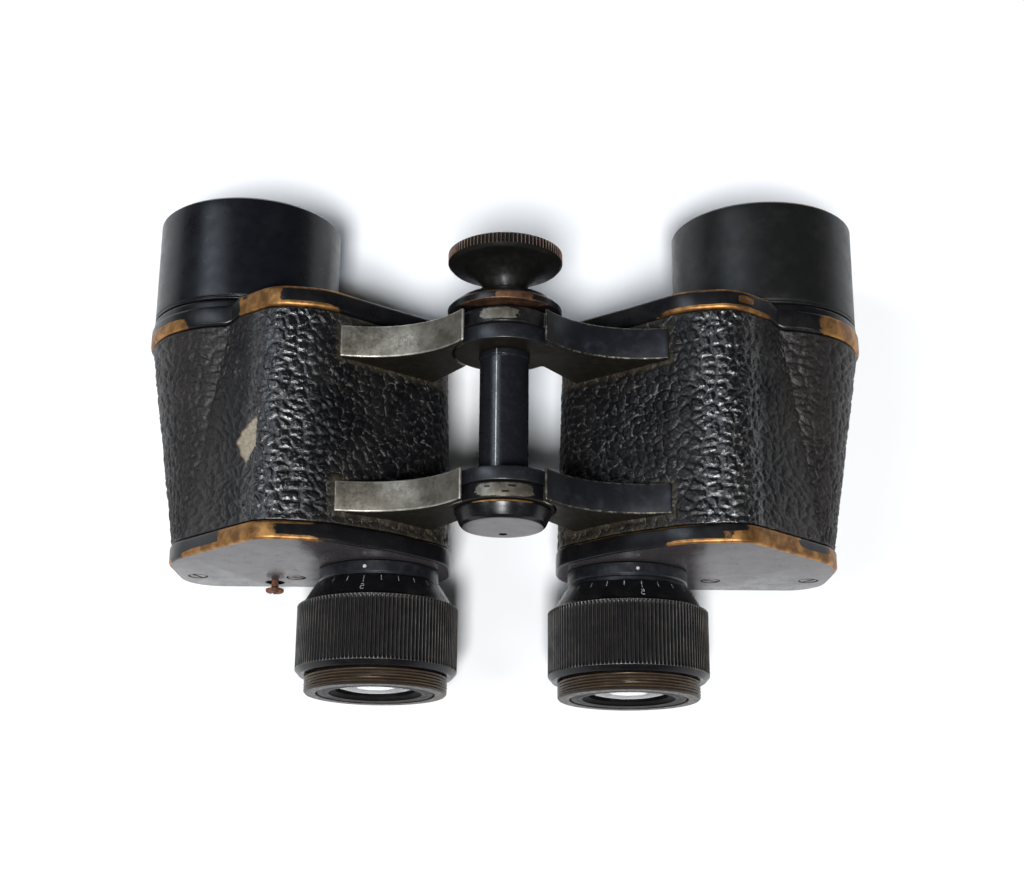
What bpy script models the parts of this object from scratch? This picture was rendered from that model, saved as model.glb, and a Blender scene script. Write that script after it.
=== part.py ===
"""Small prism binoculars with separately focusing eyepieces and a clamped centre hinge.

The instrument lies on its back.  X runs from the left barrel to the right one, +Y from
the eyepieces to the objectives, and +Z up, out of the side that carries the hinge arms.
The origin is on the table, under the middle of the instrument.  Left and right are the
user's, who looks along +Y.

Sizes are in millimetres and are turned into Blender's metres by MM.  Outlines are lists
of (x, z) points of the right half, and the left half is their mirror image.  Profiles of
turned pieces are lists of (radius, y).
"""
import math

import bmesh
import bpy
from mathutils import Matrix, Vector

MM = 0.001

# ---- the three axes of a barrel -----------------------------------------------------------
HINGE_Z = 51.9                      # hinge axis, at x = 0
EYE = Vector((29.6, 21.9))          # eyepiece axis of the right barrel
OBJECTIVE = Vector((64.3, 22.9))    # objective axis of the right barrel

# ---- stations along the instrument --------------------------------------------------------
BODY_LOW, BODY_HIGH = -23.8, 26.6   # the prism housing between its two end plates
LOBE_HIGH = 24.9                    # the housing ends lower round the objective
LOBE_X = 64.3                       # where the lower lobe starts
PLATE_LOW = -28.4                   # outer face of the eyepiece plate
PLATE_HIGH = 31.8                   # outer face of the objective plate
LOBE_PLATE_HIGH = 30.2              # the same plate on the lobe
TUBE_HIGH = 58.6                    # mouth of the objective tube
FACE_LOW = {"left": -57.8, "right": -58.6}    # outer face of each eyepiece as it stands now

GAP = 0.3                           # clearance that fitted pieces keep

# ---- prism housing ------------------------------------------------------------------------
# Corner of the eyepiece end, corner of the objective end (x, z, radius), and arc steps.
HOUSING_CORNERS = (
    ((12.6, 4.1, 15), (14.0, 4.1, 15), 6),        # inner back
    ((12.6, 30.1, 12), (14.0, 30.3, 10), 3),      # inner side, under the hinge
    ((25.3, 43.0, 25), (28.1, 41.5, 25), 2),
    ((39.5, 52.1, 20), (41.0, 52.6, 14), 2),
    ((54.3, 54.5, 9), (53.3, 55.0, 10), 4),       # ridge over the prisms
    ((64.6, 44.9, 4), (63.8, 45.9, 0.8), 1),      # crease between prisms and objective
    ((79.2, 30.5, 15), (87.2, 45.9, 22.9), 6),    # lobe round the objective
    ((78.4, 4.1, 9), (87.2, 0.0, 22.9), 6),
    ((50.0, 4.1, 4), (52.0, 0.0, 4), 1),          # flat back
)
LEATHER_INSET = 0.35
LEATHER_THICK = 0.6
WALL = 1.55
SHELF = (0.4, 2.4)                  # prism shelf across the housing
POST_R = 2.4                        # screw posts that stand on the shelf
LIGHT_HOLE_R = 6.0                  # holes in the shelf on the light's way

# ---- end plates ---------------------------------------------------------------------------
EYE_HOLE_R = 12.2
SHOULDER_R = 22.5                   # ring that stands above the lobe round the tube
TUBE_SEAT_R = 20.1

# ---- hinge --------------------------------------------------------------------------------
KNUCKLE_R = 11.5
KNUCKLE_ROOM = 0.4                  # what one half's knuckle keeps to the other half
LOW_LUG = (-21.1, -13.9)            # hinge arms at the eyepiece end
HIGH_LUG = (15.8, 23.5)             # hinge arms at the objective end
LOW_SPLIT = -17.3                   # where the two halves' knuckles meet
HIGH_SPLIT = 19.6
AXLE_R = 3.1
SLEEVE_R = 5.85
ARM_CURVE = ((9.1, 62.4), (15.0, 52.4), (26.0, 47.6), (38.0, 50.7))    # Bezier of the front
ARM_BACK = ((38.0, 47.6), (27.4, 39.5), (18.0, 31.0))   # inside the housing wall
KNUCKLE_ARC = (318, 38)             # degrees that the arm leaves round the knuckle

# ---- prisms -------------------------------------------------------------------------------
PRISM_HALF_WIDTH = 6.5
PRISM_PAST_AXIS = 6.5               # glass beyond each light axis
PRISM_APEX_HALF = 1.5               # ground flat on the roof edge
CLIP_THICK = 0.4
CLIP_HALF_WIDTH = 2.5

# ---- screws, as (x, z) of the right half --------------------------------------------------
EYEPIECE_PLATE_SCREWS = ((73.8, 15.9), (50.2, 15.0))
OBJECTIVE_PLATE_SCREWS = ((38.0, 10.5), (21.5, 12.0))
SCREW_HEAD_R = 2.2
SCREW_SHANK_R = 0.9
SCREW_LENGTH = 9.0
LOOSE_SCREW = (56.0, 9.5)           # a third one of the left half, backed out by LOOSE_BY
LOOSE_BY = 2.6

FINE = 28                           # sides of the large turned pieces
COARSE = 16                         # sides of the small and inner ones
POST_SIDES = 12
SCREW_SIDES = 10

SIDES = {"left": -1, "right": 1}


def material(name, colour, roughness, metallic):
    made = bpy.data.materials.new(name)
    made.use_nodes = True
    shader = made.node_tree.nodes["Principled BSDF"]
    shader.inputs["Base Color"].default_value = (*colour, 1)
    shader.inputs["Roughness"].default_value = roughness
    shader.inputs["Metallic"].default_value = metallic
    return made


def clear_scene():
    for old in list(bpy.data.objects):
        bpy.data.objects.remove(old, do_unlink=True)


def new_collection(name):
    made = bpy.data.collections.new(name)
    bpy.context.scene.collection.children.link(made)
    return made


clear_scene()
PARTS = new_collection("binoculars")
CUTTERS = new_collection("cutters")

BLACK = material("black_enamel", (0.012, 0.012, 0.014), 0.3, 0.0)
BARE = material("bare_alloy", (0.42, 0.40, 0.36), 0.45, 1.0)
BRASS = material("worn_brass", (0.55, 0.34, 0.12), 0.4, 1.0)
BRONZE = material("dark_bronze", (0.09, 0.07, 0.055), 0.45, 1.0)
LEATHER = material("black_leather", (0.02, 0.018, 0.017), 0.6, 0.0)
STEEL = material("screw_steel", (0.25, 0.22, 0.2), 0.45, 1.0)
RUST = material("rusty_steel", (0.16, 0.07, 0.035), 0.8, 0.3)
GLASS = material("optical_glass", (0.55, 0.62, 0.66), 0.05, 0.0)


# ---- outlines -----------------------------------------------------------------------------

def rounded(corners, outward):
    """Points of a clockwise outline with rounded corners (x, z, radius, steps), moved outward."""
    points = []
    for index, (x, z, radius, steps) in enumerate(corners):
        here = Vector((x, z))
        enter = (here - Vector(corners[index - 1][:2])).normalized()
        leave = (Vector(corners[(index + 1) % len(corners)][:2]) - here).normalized()
        turn = math.atan2(enter.x * leave.y - enter.y * leave.x, enter.dot(leave))
        bulge = 1 if turn < 0 else -1
        normal = Vector((-enter.y, enter.x))
        start = here - enter * radius * math.tan(abs(turn) / 2)
        centre = start - normal * bulge * radius
        for step in range(steps + 1):
            spoke = Matrix.Rotation(turn * step / steps, 2) @ normal
            points.append(centre + spoke * bulge * (radius + bulge * outward))
    return points


def housing_section(along, outward):
    """Outline of the housing: along is 0 at the eyepiece end and 1 at the objective end."""
    ends = []
    for end in (0, 1):
        corners = [(*corner[end], corner[2]) for corner in HOUSING_CORNERS]
        ends.append(rounded(corners, outward))
    return [low.lerp(high, along) for low, high in zip(*ends)]


def bezier(points, steps):
    a, b, c, d = (Vector(point) for point in points)
    curve = []
    for step in range(steps + 1):
        t = step / steps
        curve.append(a * (1 - t) ** 3 + b * 3 * t * (1 - t) ** 2
                     + c * 3 * t ** 2 * (1 - t) + d * t ** 3)
    return curve


def circle(x, z, radius, steps):
    turns = (2 * math.pi * step / steps for step in range(steps))
    return [(x + radius * math.cos(turn), z + radius * math.sin(turn)) for turn in turns]


def lug_outline():
    """Hinge arm and knuckle in one outline: the arm's front, its root in the wall, the ring."""
    first, last = KNUCKLE_ARC
    steps = 18
    ring = []
    for step in range(steps + 1):
        turn = math.radians(first + (last - first) * step / steps)
        ring.append((KNUCKLE_R * math.cos(turn), HINGE_Z + KNUCKLE_R * math.sin(turn)))
    return bezier(ARM_CURVE, 8) + list(ARM_BACK) + ring


def mirrored(points, side):
    return [(side * x, z) for x, z in points]


# ---- solids -------------------------------------------------------------------------------

def finish(thing, look, sharp=35):
    """Give the object its material, and shade it smooth between its sharp edges."""
    thing.data.materials.clear()
    thing.data.materials.append(look)
    thing.data.shade_smooth()
    thing.data.set_sharp_from_angle(angle=math.radians(sharp))
    return thing


def extruded(name, outlines, half_thickness, place, look=BLACK):
    """A flat outline, the first of outlines, with the others as holes, given a thickness."""
    curve = bpy.data.curves.new(name + "_outline", "CURVE")
    curve.dimensions = "2D"
    curve.fill_mode = "BOTH"
    curve.extrude = half_thickness * MM
    for outline in outlines:
        spline = curve.splines.new("POLY")
        spline.points.add(len(outline) - 1)
        spline.use_cyclic_u = True
        for point, (across, up) in zip(spline.points, outline):
            point.co = (across * MM, up * MM, 0, 1)
    drawn = bpy.data.objects.new(name + "_outline", curve)
    PARTS.objects.link(drawn)
    drawn.matrix_world = place
    bpy.context.view_layer.update()
    evaluated = drawn.evaluated_get(bpy.context.evaluated_depsgraph_get())
    mesh = bpy.data.meshes.new_from_object(evaluated)
    work = bmesh.new()
    work.from_mesh(mesh)
    close(work, mesh)
    thing = bpy.data.objects.new(name, mesh)
    thing.matrix_world = drawn.matrix_world
    PARTS.objects.link(thing)
    bpy.data.objects.remove(drawn, do_unlink=True)
    return finish(thing, look)


def close(work, mesh):
    """Weld the working mesh, point its faces out and hand it to the mesh."""
    bmesh.ops.remove_doubles(work, verts=work.verts, dist=1e-6)
    bmesh.ops.recalc_face_normals(work, faces=work.faces)
    if work.calc_volume(signed=True) < 0:
        bmesh.ops.reverse_faces(work, faces=work.faces)
    work.to_mesh(mesh)
    work.free()


def plate(name, outlines, low, high, look=BLACK):
    """A plate whose outline lies in the XZ plane, from y = low to y = high."""
    upright = Matrix.Rotation(math.radians(90), 4, "X")
    place = Matrix.Translation((0, (low + high) / 2 * MM, 0)) @ upright
    return extruded(name, outlines, (high - low) / 2, place, look)


def sleeve(name, side, outward, inward, look):
    """The housing's tapered tube between two offsets of its outline, open at both ends."""
    work = bmesh.new()
    loops = {}
    for along in (0, 1):
        y = BODY_LOW + (BODY_HIGH - BODY_LOW) * along
        for offset in (outward, inward):
            section = mirrored(housing_section(along, offset), side)
            loops[along, offset] = [work.verts.new((x * MM, y * MM, z * MM)) for x, z in section]
    for offset in (outward, inward):
        low, high = loops[0, offset], loops[1, offset]
        for index in range(len(low)):
            # The same diagonal in both walls keeps nested sleeves an even distance apart.
            work.faces.new((low[index - 1], low[index], high[index]))
            work.faces.new((low[index - 1], high[index], high[index - 1]))
    for along in (0, 1):
        outer, inner = loops[along, outward], loops[along, inward]
        for index in range(len(outer)):
            work.faces.new((outer[index - 1], outer[index], inner[index], inner[index - 1]))
    mesh = bpy.data.meshes.new(name)
    close(work, mesh)
    thing = bpy.data.objects.new(name, mesh)
    PARTS.objects.link(thing)
    return finish(thing, look)


def turned(name, profile, x, z, look=BLACK, steps=FINE):
    """A piece turned about a line along Y through (x, z).

    A profile that starts and ends on the axis is a solid, any other one closes into a ring.
    Its outer side runs from high y to low y, as the Screw modifier needs.
    """
    mesh = bpy.data.meshes.new(name)
    edges = [(index, index + 1) for index in range(len(profile) - 1)]
    if profile[0][0] or profile[-1][0]:
        edges.append((len(profile) - 1, 0))
    mesh.from_pydata([(radius * MM, 0, y * MM) for radius, y in profile], edges, [])
    thing = bpy.data.objects.new(name, mesh)
    PARTS.objects.link(thing)
    thing.location = (x * MM, 0, z * MM)
    thing.rotation_euler.x = math.radians(-90)
    mesh.materials.append(look)
    screw = thing.modifiers.new("turn", "SCREW")
    screw.steps = steps
    screw.render_steps = steps
    screw.use_merge_vertices = True
    screw.merge_threshold = 1e-6
    screw.use_smooth_shade = True
    smooth = thing.modifiers.new("smooth", "WEIGHTED_NORMAL")
    smooth.keep_sharp = True
    return thing


def ring(name, outer_r, inner_r, low, high, x, z, look=BLACK, steps=COARSE):
    profile = ((outer_r, high), (outer_r, low), (inner_r, low), (inner_r, high))
    return turned(name, profile, x, z, look, steps)


def rod(name, radius, low, high, x, z, look=BLACK, steps=COARSE):
    return turned(name, ((0, high), (radius, high), (radius, low), (0, low)), x, z, look, steps)


def box(name, low, high):
    """A box between two corners in millimetres."""
    work = bmesh.new()
    bmesh.ops.create_cube(work, size=1)
    mesh = bpy.data.meshes.new(name)
    work.to_mesh(mesh)
    work.free()
    size = [(b - a) * MM for a, b in zip(low, high)]
    middle = [(b + a) / 2 * MM for a, b in zip(low, high)]
    mesh.transform(Matrix.Diagonal((*size, 1)))
    thing = bpy.data.objects.new(name, mesh)
    thing.location = middle
    PARTS.objects.link(thing)
    return thing


def hide(thing):
    """Make the object a cutter or a guide."""
    if thing.name in PARTS.objects:
        PARTS.objects.unlink(thing)
        CUTTERS.objects.link(thing)
    thing.hide_render = True
    thing.display_type = "WIRE"


def combine(thing, other, operation):
    hide(other)
    step = thing.modifiers.new(other.name, "BOOLEAN")
    step.object = other
    step.operation = operation
    step.solver = "EXACT"


def join(thing, *others):
    for other in others:
        combine(thing, other, "UNION")


def cut(thing, *others):
    for other in others:
        combine(thing, other, "DIFFERENCE")


# ---- screws -------------------------------------------------------------------------------

def plate_screw(name, x, z, face, inward, extra=0.0, look=STEEL):
    """A countersunk screw: its head is flush with face, and it runs inward (+1 or -1 along Y)."""
    head = SCREW_HEAD_R + extra
    shank = SCREW_SHANK_R + extra
    top = face - inward * extra
    profile = [(0, top), (head, top), (head, face + inward * (0.5 + extra)),
               (shank, face + inward * (1.6 + extra)),
               (shank, face + inward * (SCREW_LENGTH + extra)),
               (0, face + inward * (SCREW_LENGTH + extra))]
    if inward > 0:
        profile.reverse()
    return turned(name, profile, x, z, look, SCREW_SIDES)


# ---- the barrel pieces that do not move in their half ---------------------------------------

def make_casting(name, side):
    """Prism housing with its shelf, screw posts and the two hinge arms, in one casting."""
    outward = -LEATHER_INSET - LEATHER_THICK - GAP
    casting = sleeve(f"{name}_body_casting", side, outward, outward - WALL, BLACK)
    middle = housing_section((SHELF[0] - BODY_LOW) / (BODY_HIGH - BODY_LOW), outward - WALL / 2)
    light_holes = [circle(side * axis.x, axis.y, LIGHT_HOLE_R, COARSE) for axis in light_axes()]
    join(casting, plate(f"{name}_shelf", [mirrored(middle, side), *light_holes], *SHELF))
    for index, (low, high) in enumerate((LOW_LUG, HIGH_LUG)):
        join(casting, plate(f"{name}_lug_{index}", [mirrored(lug_outline(), side)], low, high))
    cut(casting, ring_clearance(name, LOW_LUG, LOW_SPLIT, side),
        ring_clearance(name, HIGH_LUG, HIGH_SPLIT, side),
        rod(f"{name}_axle_bore", AXLE_R + GAP, LOW_LUG[0] - 1, HIGH_LUG[1] + 1, 0, HINGE_Z))
    for index, (x, z) in enumerate(EYEPIECE_PLATE_SCREWS):
        join(casting, rod(f"{name}_low_post_{index}", POST_R, BODY_LOW + GAP, SHELF[0] + 1,
                          side * x, z, steps=POST_SIDES))
    for index, (x, z) in enumerate(OBJECTIVE_PLATE_SCREWS):
        join(casting, rod(f"{name}_high_post_{index}", POST_R, SHELF[1] - 1, BODY_HIGH - GAP,
                          side * x, z, steps=POST_SIDES))
    cut(casting, lobe_box(f"{name}_casting_step", side, LOBE_HIGH, BODY_HIGH + 1))
    return casting


def ring_clearance(name, lug, split, side):
    """Room for the other half's knuckle: the right half keeps the inner pair of knuckles."""
    outer = (lug[0] - 1, split + GAP / 2) if lug is LOW_LUG else (split - GAP / 2, lug[1] + 1)
    inner = (split - GAP / 2, lug[1] + 1) if lug is LOW_LUG else (lug[0] - 1, split + GAP / 2)
    low, high = outer if side > 0 else inner
    return rod(f"{name}_knuckle_room_{'low' if lug is LOW_LUG else 'high'}",
               KNUCKLE_R + KNUCKLE_ROOM, low, high, 0, HINGE_Z, steps=36)


def lobe_box(name, side, low, high):
    """A box over the objective side of a half, from y = low to y = high."""
    near, far = sorted((side * LOBE_X, side * 100))
    return box(name, (near, low, -5), (far, high, 60))


def prism_box(name, side, low, high):
    """A box over the prism side of a half, from y = low to y = high."""
    near, far = sorted((side * LOBE_X, side * 5))
    return box(name, (near, low, -5), (far, high, 60))


def make_leather(name, side):
    leather = sleeve(f"{name}_leather_cover", side, -LEATHER_INSET,
                     -LEATHER_INSET - LEATHER_THICK, LEATHER)
    arm_room = ((6, 66), (38.4, 66), (38.4, 47), (27, 37.5), (17.5, 29.5), (11, 33))
    for index, (low, high) in enumerate((LOW_LUG, HIGH_LUG)):
        cut(leather, plate(f"{name}_arm_room_{index}", [mirrored(arm_room, side)],
                           low - GAP, high + GAP))
    cut(leather, lobe_box(f"{name}_leather_step", side, LOBE_HIGH, BODY_HIGH + 1))
    return leather


def make_plates(name, side):
    """The two end plates, with the seats of the tube and of the eyepiece."""
    eye_hole = circle(side * EYE.x, EYE.y, EYE_HOLE_R, COARSE)
    low_plate = plate(f"{name}_eyepiece_plate",
                      [mirrored(housing_section(0, 0), side), eye_hole],
                      PLATE_LOW, BODY_LOW - GAP, BRASS)
    high_plate = plate(f"{name}_objective_plate", [mirrored(housing_section(1, 0), side)],
                       LOBE_HIGH + GAP, PLATE_HIGH, BRASS)
    step = lobe_box(f"{name}_plate_step", side, LOBE_PLATE_HIGH, PLATE_HIGH + 1)
    cut(step, rod(f"{name}_shoulder", SHOULDER_R, LOBE_PLATE_HIGH - 2, PLATE_HIGH + 2,
                  side * OBJECTIVE.x, OBJECTIVE.y, steps=FINE))
    cut(high_plate, step,
        prism_box(f"{name}_plate_seat", side, LOBE_HIGH - 1, BODY_HIGH + GAP),
        rod(f"{name}_tube_seat", TUBE_SEAT_R, LOBE_HIGH - 1, PLATE_HIGH + 1,
            side * OBJECTIVE.x, OBJECTIVE.y, steps=FINE))
    return low_plate, high_plate


def make_screws(name, side, casting, low_plate, high_plate):
    screws = []
    for place, holes, face, inward, cover in (
            ("eyepiece", EYEPIECE_PLATE_SCREWS, PLATE_LOW, 1, low_plate),
            ("objective", OBJECTIVE_PLATE_SCREWS, PLATE_HIGH, -1, high_plate)):
        for number, (x, z) in enumerate(holes, 1):
            label = f"{name}_{place}_plate_screw_{number}"
            screws.append(plate_screw(label, side * x, z, face, inward))
            hole = plate_screw(label + "_hole", side * x, z, face, inward, GAP)
            cut(cover, hole)
            cut(casting, hole)
    return screws


def make_loose_screw(side, casting, low_plate):
    """The rusty screw of the left eyepiece plate that stands proud of its hole."""
    x, z = LOOSE_SCREW
    hole = plate_screw("left_loose_screw_hole", side * x, z, PLATE_LOW, 1, GAP)
    join(casting, rod("left_loose_post", POST_R, BODY_LOW + GAP, SHELF[0] + 1,
                      side * x, z, steps=POST_SIDES))
    cut(casting, hole)
    cut(low_plate, hole)
    return plate_screw("left_loose_plate_screw", side * x, z, PLATE_LOW - LOOSE_BY, 1, look=RUST)


def make_objective(name, side):
    """Objective tube with the lens, its cell and its retaining ring."""
    x, z = side * OBJECTIVE.x, OBJECTIVE.y
    base = PLATE_HIGH + GAP
    tube = turned(f"{name}_objective_tube", (
        (21.3, TUBE_HIGH), (22.3, TUBE_HIGH - 0.6), (22.3, base), (19.8, base),
        (19.8, base - 4.5), (18.2, base - 4.5), (18.2, 40.0), (20.6, 41.6),
        (20.6, TUBE_HIGH)), x, z)
    cell = turned(f"{name}_objective_cell", (
        (20.3, 49.7), (20.3, 42.3), (14.6, 42.3), (14.6, 43.3), (16.0, 43.3), (16.0, 49.7)),
        x, z, BRONZE, COARSE)
    lens = turned(f"{name}_objective_lens", (
        (0, 49.4), (8.0, 48.9), (15.7, 47.3), (15.7, 44.4), (8.0, 43.8), (0, 43.6)),
        x, z, GLASS, COARSE)
    keeper = ring(f"{name}_objective_retaining_ring", 20.3, 15.0, 50.0, 52.0, x, z, BRONZE)
    return tube, cell, lens, keeper


# ---- prisms -------------------------------------------------------------------------------

def light_axes():
    """Objective axis, the folded middle axis in front of it, and the eyepiece axis."""
    half = (OBJECTIVE - EYE) / 2
    return OBJECTIVE, EYE + half + Vector((-half.y, half.x)), EYE


def roof(depth, half, grown):
    """Half outline of a Porro prism over its long face, grown by a distance: (along, away)."""
    slope = math.tan(math.radians(22.5))
    return [(half + grown, 0), (half + grown, depth - half + grown * slope),
            (PRISM_APEX_HALF + grown * slope, depth - PRISM_APEX_HALF + grown)]


def both_sides(points):
    return points + [(-along, away) for along, away in reversed(points)]


def make_prism(name, side, first, second, face, away):
    """A Porro prism over two light axes and its spring clip; away is its roof's way along Y."""
    first = Vector((side * first.x, first.y))
    second = Vector((side * second.x, second.y))
    depth = (second - first).length
    half = depth / 2 + PRISM_PAST_AXIS
    along = (second - first).normalized()
    middle = (first + second) / 2
    place = Matrix(((along.x, 0, -along.y, middle.x * MM), (0, 1, 0, face * MM),
                    (along.y, 0, along.x, middle.y * MM), (0, 0, 0, 1)))
    glass = [(u, away * v) for u, v in both_sides(roof(depth, half, 0))]
    inner = both_sides(roof(depth, half, GAP))
    outer = both_sides(roof(depth, half, GAP + CLIP_THICK))
    strip = [(u, away * v) for u, v in outer + inner[::-1]]
    prism = extruded(f"{name}_prism", [glass], PRISM_HALF_WIDTH, place, GLASS)
    clip = extruded(f"{name}_prism_clip", [strip], CLIP_HALF_WIDTH, place, STEEL)
    return prism, clip


def make_prisms(name, side):
    objective, folded, eye = light_axes()
    return (*make_prism(f"{name}_objective", side, objective, folded, SHELF[0] - GAP, -1),
            *make_prism(f"{name}_eyepiece", side, folded, eye, SHELF[1] + GAP, 1))


# ---- eyepiece -----------------------------------------------------------------------------

def make_socket(name, side):
    """The threaded collar that stays on the plate, which the eyepiece screws on."""
    return turned(f"{name}_eyepiece_socket", (
        (11.9, PLATE_LOW + 4.1), (11.9, PLATE_LOW - GAP), (14.2, PLATE_LOW - GAP),
        (14.2, -44.0), (12.9, -44.0), (12.9, PLATE_LOW - 1.3), (10.5, PLATE_LOW - 1.3),
        (10.5, PLATE_LOW + 4.1)), side * EYE.x, EYE.y, BLACK, COARSE)


def make_focus_ring(name, side, face):
    """The knurled ring with its scale cone, and the thread that the eyecup screwed on."""
    knurled = turned(f"{name}_focus_ring", (
        (14.9, face + 25.5), (17.7, face + 20.9), (18.95, face + 20.3), (18.95, face + 5.3),
        (17.9, face + 4.1), (16.3, face + 4.1), (16.3, face + 8.6), (14.5, face + 8.6),
        (14.5, face + 25.5)), side * EYE.x, EYE.y, BRONZE)
    thread = turned(f"{name}_eyecup_thread_ring", (
        (16.0, face + 8.2), (16.0, face + 3.8), (16.75, face + 3.8), (16.75, face + 0.5),
        (16.3, face), (13.9, face), (13.9, face + 8.2)), side * EYE.x, EYE.y, BRASS, COARSE + 8)
    return knurled, thread


def make_lens_barrel(name, side, face):
    """The tube that carries the field lens and the eye lens along the axis."""
    x, z = side * EYE.x, EYE.y
    barrel = turned(f"{name}_lens_barrel", (
        (12.6, face + 26), (12.6, face + 8.5), (13.6, face + 8.5), (13.6, face + 0.2),
        (10.9, face + 0.2), (8.6, face + 0.9), (8.6, face + 1.5), (11.3, face + 1.5),
        (11.3, face + 26)),
        x, z, BLACK, COARSE)
    eye_lens = turned(f"{name}_eye_lens", (
        (0, face + 7.4), (11.0, face + 7.4), (11.0, face + 1.8), (8.3, face + 1.8),
        (8.3, face + 0.9), (4.5, face + 0.7), (0, face + 0.6)), x, z, GLASS, COARSE)
    field_lens = turned(f"{name}_field_lens", (
        (0, face + 24.0), (6.0, face + 23.6), (11.0, face + 22.4), (11.0, face + 20.0),
        (0, face + 20.0)), x, z, GLASS, COARSE)
    return barrel, eye_lens, field_lens


# ---- hinge --------------------------------------------------------------------------------

def make_hinge():
    """Axle, sleeve, eyepiece-end cap with its pin, and the screw that ends the axle."""
    z = HINGE_Z
    axle = turned("hinge_axle", (
        (0, 30.0), (1.5, 30.0), (1.5, 38.5), (AXLE_R, 38.5), (AXLE_R, -22.8), (0, -22.8)),
        0, z, STEEL, COARSE)
    sleeve_tube = ring("hinge_sleeve", SLEEVE_R, AXLE_R + GAP, LOW_LUG[1] + GAP,
                       HIGH_LUG[0] - GAP, 0, z, BLACK, COARSE + 4)
    cap = turned("hinge_cap", (
        (10.9, -21.4), (10.9, -21.9), (9.6, -24.5), (9.0, -25.1), (0, -25.1), (0, -23.2),
        (AXLE_R + GAP, -23.2), (AXLE_R + GAP, -21.4)), 0, z, BLACK)
    cut(cap, rod("cap_pin_hole", 1.1, -26, -23.0, 0, z - 5.7, steps=SCREW_SIDES))
    pin = rod("hinge_cap_pin", 0.8, -25.1, -23.3, 0, z - 5.7, BRONZE, SCREW_SIDES)
    end_screw = turned("axle_end_screw", (
        (0, 40.2), (4.0, 40.2), (4.4, 39.8), (4.4, 38.8), (1.2, 38.8), (1.2, 31.0), (0, 31.0)),
        0, z, STEEL, COARSE)
    return axle, sleeve_tube, cap, pin, end_screw


def make_clamp():
    """Friction washer, domed clamp washer and the knurled knob that presses on them."""
    z = HINGE_Z
    low = HIGH_LUG[1] + GAP
    friction = ring("friction_washer", 9.0, AXLE_R + GAP, low, low + 0.6, 0, z, BRONZE)
    dome = turned("dome_washer", (
        (4.6, 30.7), (6.4, 30.4), (8.8, 29.5), (11.0, 28.3), (12.4, 27.3), (13.2, 26.4),
        (13.2, low + 0.9), (AXLE_R + GAP, low + 0.9), (AXLE_R + GAP, 30.7)), 0, z, BLACK)
    knob = turned("clamp_knob", (
        (12.6, 41.0), (13.3, 40.6), (13.3, 38.0), (12.6, 37.3), (9.4, 36.4), (7.3, 35.2),
        (5.8, 33.9), (4.9, 32.4), (4.6, 31.0), (AXLE_R + GAP, 31.0), (AXLE_R + GAP, 37.8),
        (4.8, 37.8), (4.8, 41.0)), 0, z, BRONZE)
    return friction, dome, knob


# ---- assembly -----------------------------------------------------------------------------

def pivot(name, x, y, z, parent=None):
    """An empty on a joint's axis, which carries the pieces that move about it."""
    made = bpy.data.objects.new(name, None)
    made.empty_display_size = 10 * MM
    made.location = (x * MM, y * MM, z * MM)
    PARTS.objects.link(made)
    bpy.context.view_layer.update()
    if parent:
        attach(parent, made)
    return made


def attach(parent, *things):
    """Parent the things where they stand."""
    bpy.context.view_layer.update()
    for thing in things:
        thing.parent = parent
        thing.matrix_parent_inverse = parent.matrix_world.inverted()


def make_half(name, carrier):
    side = SIDES[name]
    casting = make_casting(name, side)
    low_plate, high_plate = make_plates(name, side)
    if name == "left":
        attach(carrier, make_loose_screw(side, casting, low_plate))
    attach(carrier, casting, make_leather(name, side), low_plate, high_plate,
           *make_screws(name, side, casting, low_plate, high_plate),
           *make_objective(name, side), *make_prisms(name, side), make_socket(name, side))
    slide = pivot(f"{name}_eyepiece_slide", side * EYE.x, FACE_LOW[name], EYE.y, carrier)
    attach(slide, *make_lens_barrel(name, side, FACE_LOW[name]))
    turn = pivot(f"{name}_eyepiece_turn", side * EYE.x, FACE_LOW[name], EYE.y, slide)
    attach(turn, *make_focus_ring(name, side, FACE_LOW[name]))


def main():
    right = pivot("right_half", 0, 0, HINGE_Z)
    left = pivot("left_half", 0, 0, HINGE_Z, right)
    make_half("right", right)
    make_half("left", left)
    attach(right, *make_hinge())
    friction, dome, knob = make_clamp()
    attach(right, friction, dome)
    attach(pivot("clamp_turn", 0, 31.0, HINGE_Z, right), knob)


main()
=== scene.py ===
"""Looks of a pair of old prism binoculars that lie on their back, built round the CAD frame.

Sizes are millimetres and turn into Blender's metres in new_piece().  X runs from the left
barrel to the right one, +Y from the eyepieces to the objectives, +Z up.  Outlines are arrays
of (x, z) points of the right half, and the left half is their mirror image.  Profiles of
turned pieces are lists of (radius, y, corner radius).
"""

import math

import bmesh
import bpy
import numpy as np
from mathutils import Matrix, Vector


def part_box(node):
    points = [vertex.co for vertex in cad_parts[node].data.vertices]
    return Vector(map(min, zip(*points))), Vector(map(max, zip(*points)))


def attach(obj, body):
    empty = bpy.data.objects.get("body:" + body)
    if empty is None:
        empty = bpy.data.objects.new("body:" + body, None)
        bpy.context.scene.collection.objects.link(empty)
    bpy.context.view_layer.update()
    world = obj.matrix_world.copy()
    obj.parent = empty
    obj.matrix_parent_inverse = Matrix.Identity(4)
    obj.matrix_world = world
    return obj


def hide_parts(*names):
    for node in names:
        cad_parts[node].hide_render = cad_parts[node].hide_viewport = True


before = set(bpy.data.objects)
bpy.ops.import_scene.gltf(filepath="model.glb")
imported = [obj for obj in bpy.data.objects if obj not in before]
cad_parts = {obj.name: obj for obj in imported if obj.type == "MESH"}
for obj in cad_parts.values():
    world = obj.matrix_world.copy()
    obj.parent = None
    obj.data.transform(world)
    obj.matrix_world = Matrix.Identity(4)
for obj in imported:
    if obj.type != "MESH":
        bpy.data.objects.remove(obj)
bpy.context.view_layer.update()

MM = 0.001
SIDES = {"left": -1, "right": 1}
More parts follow.
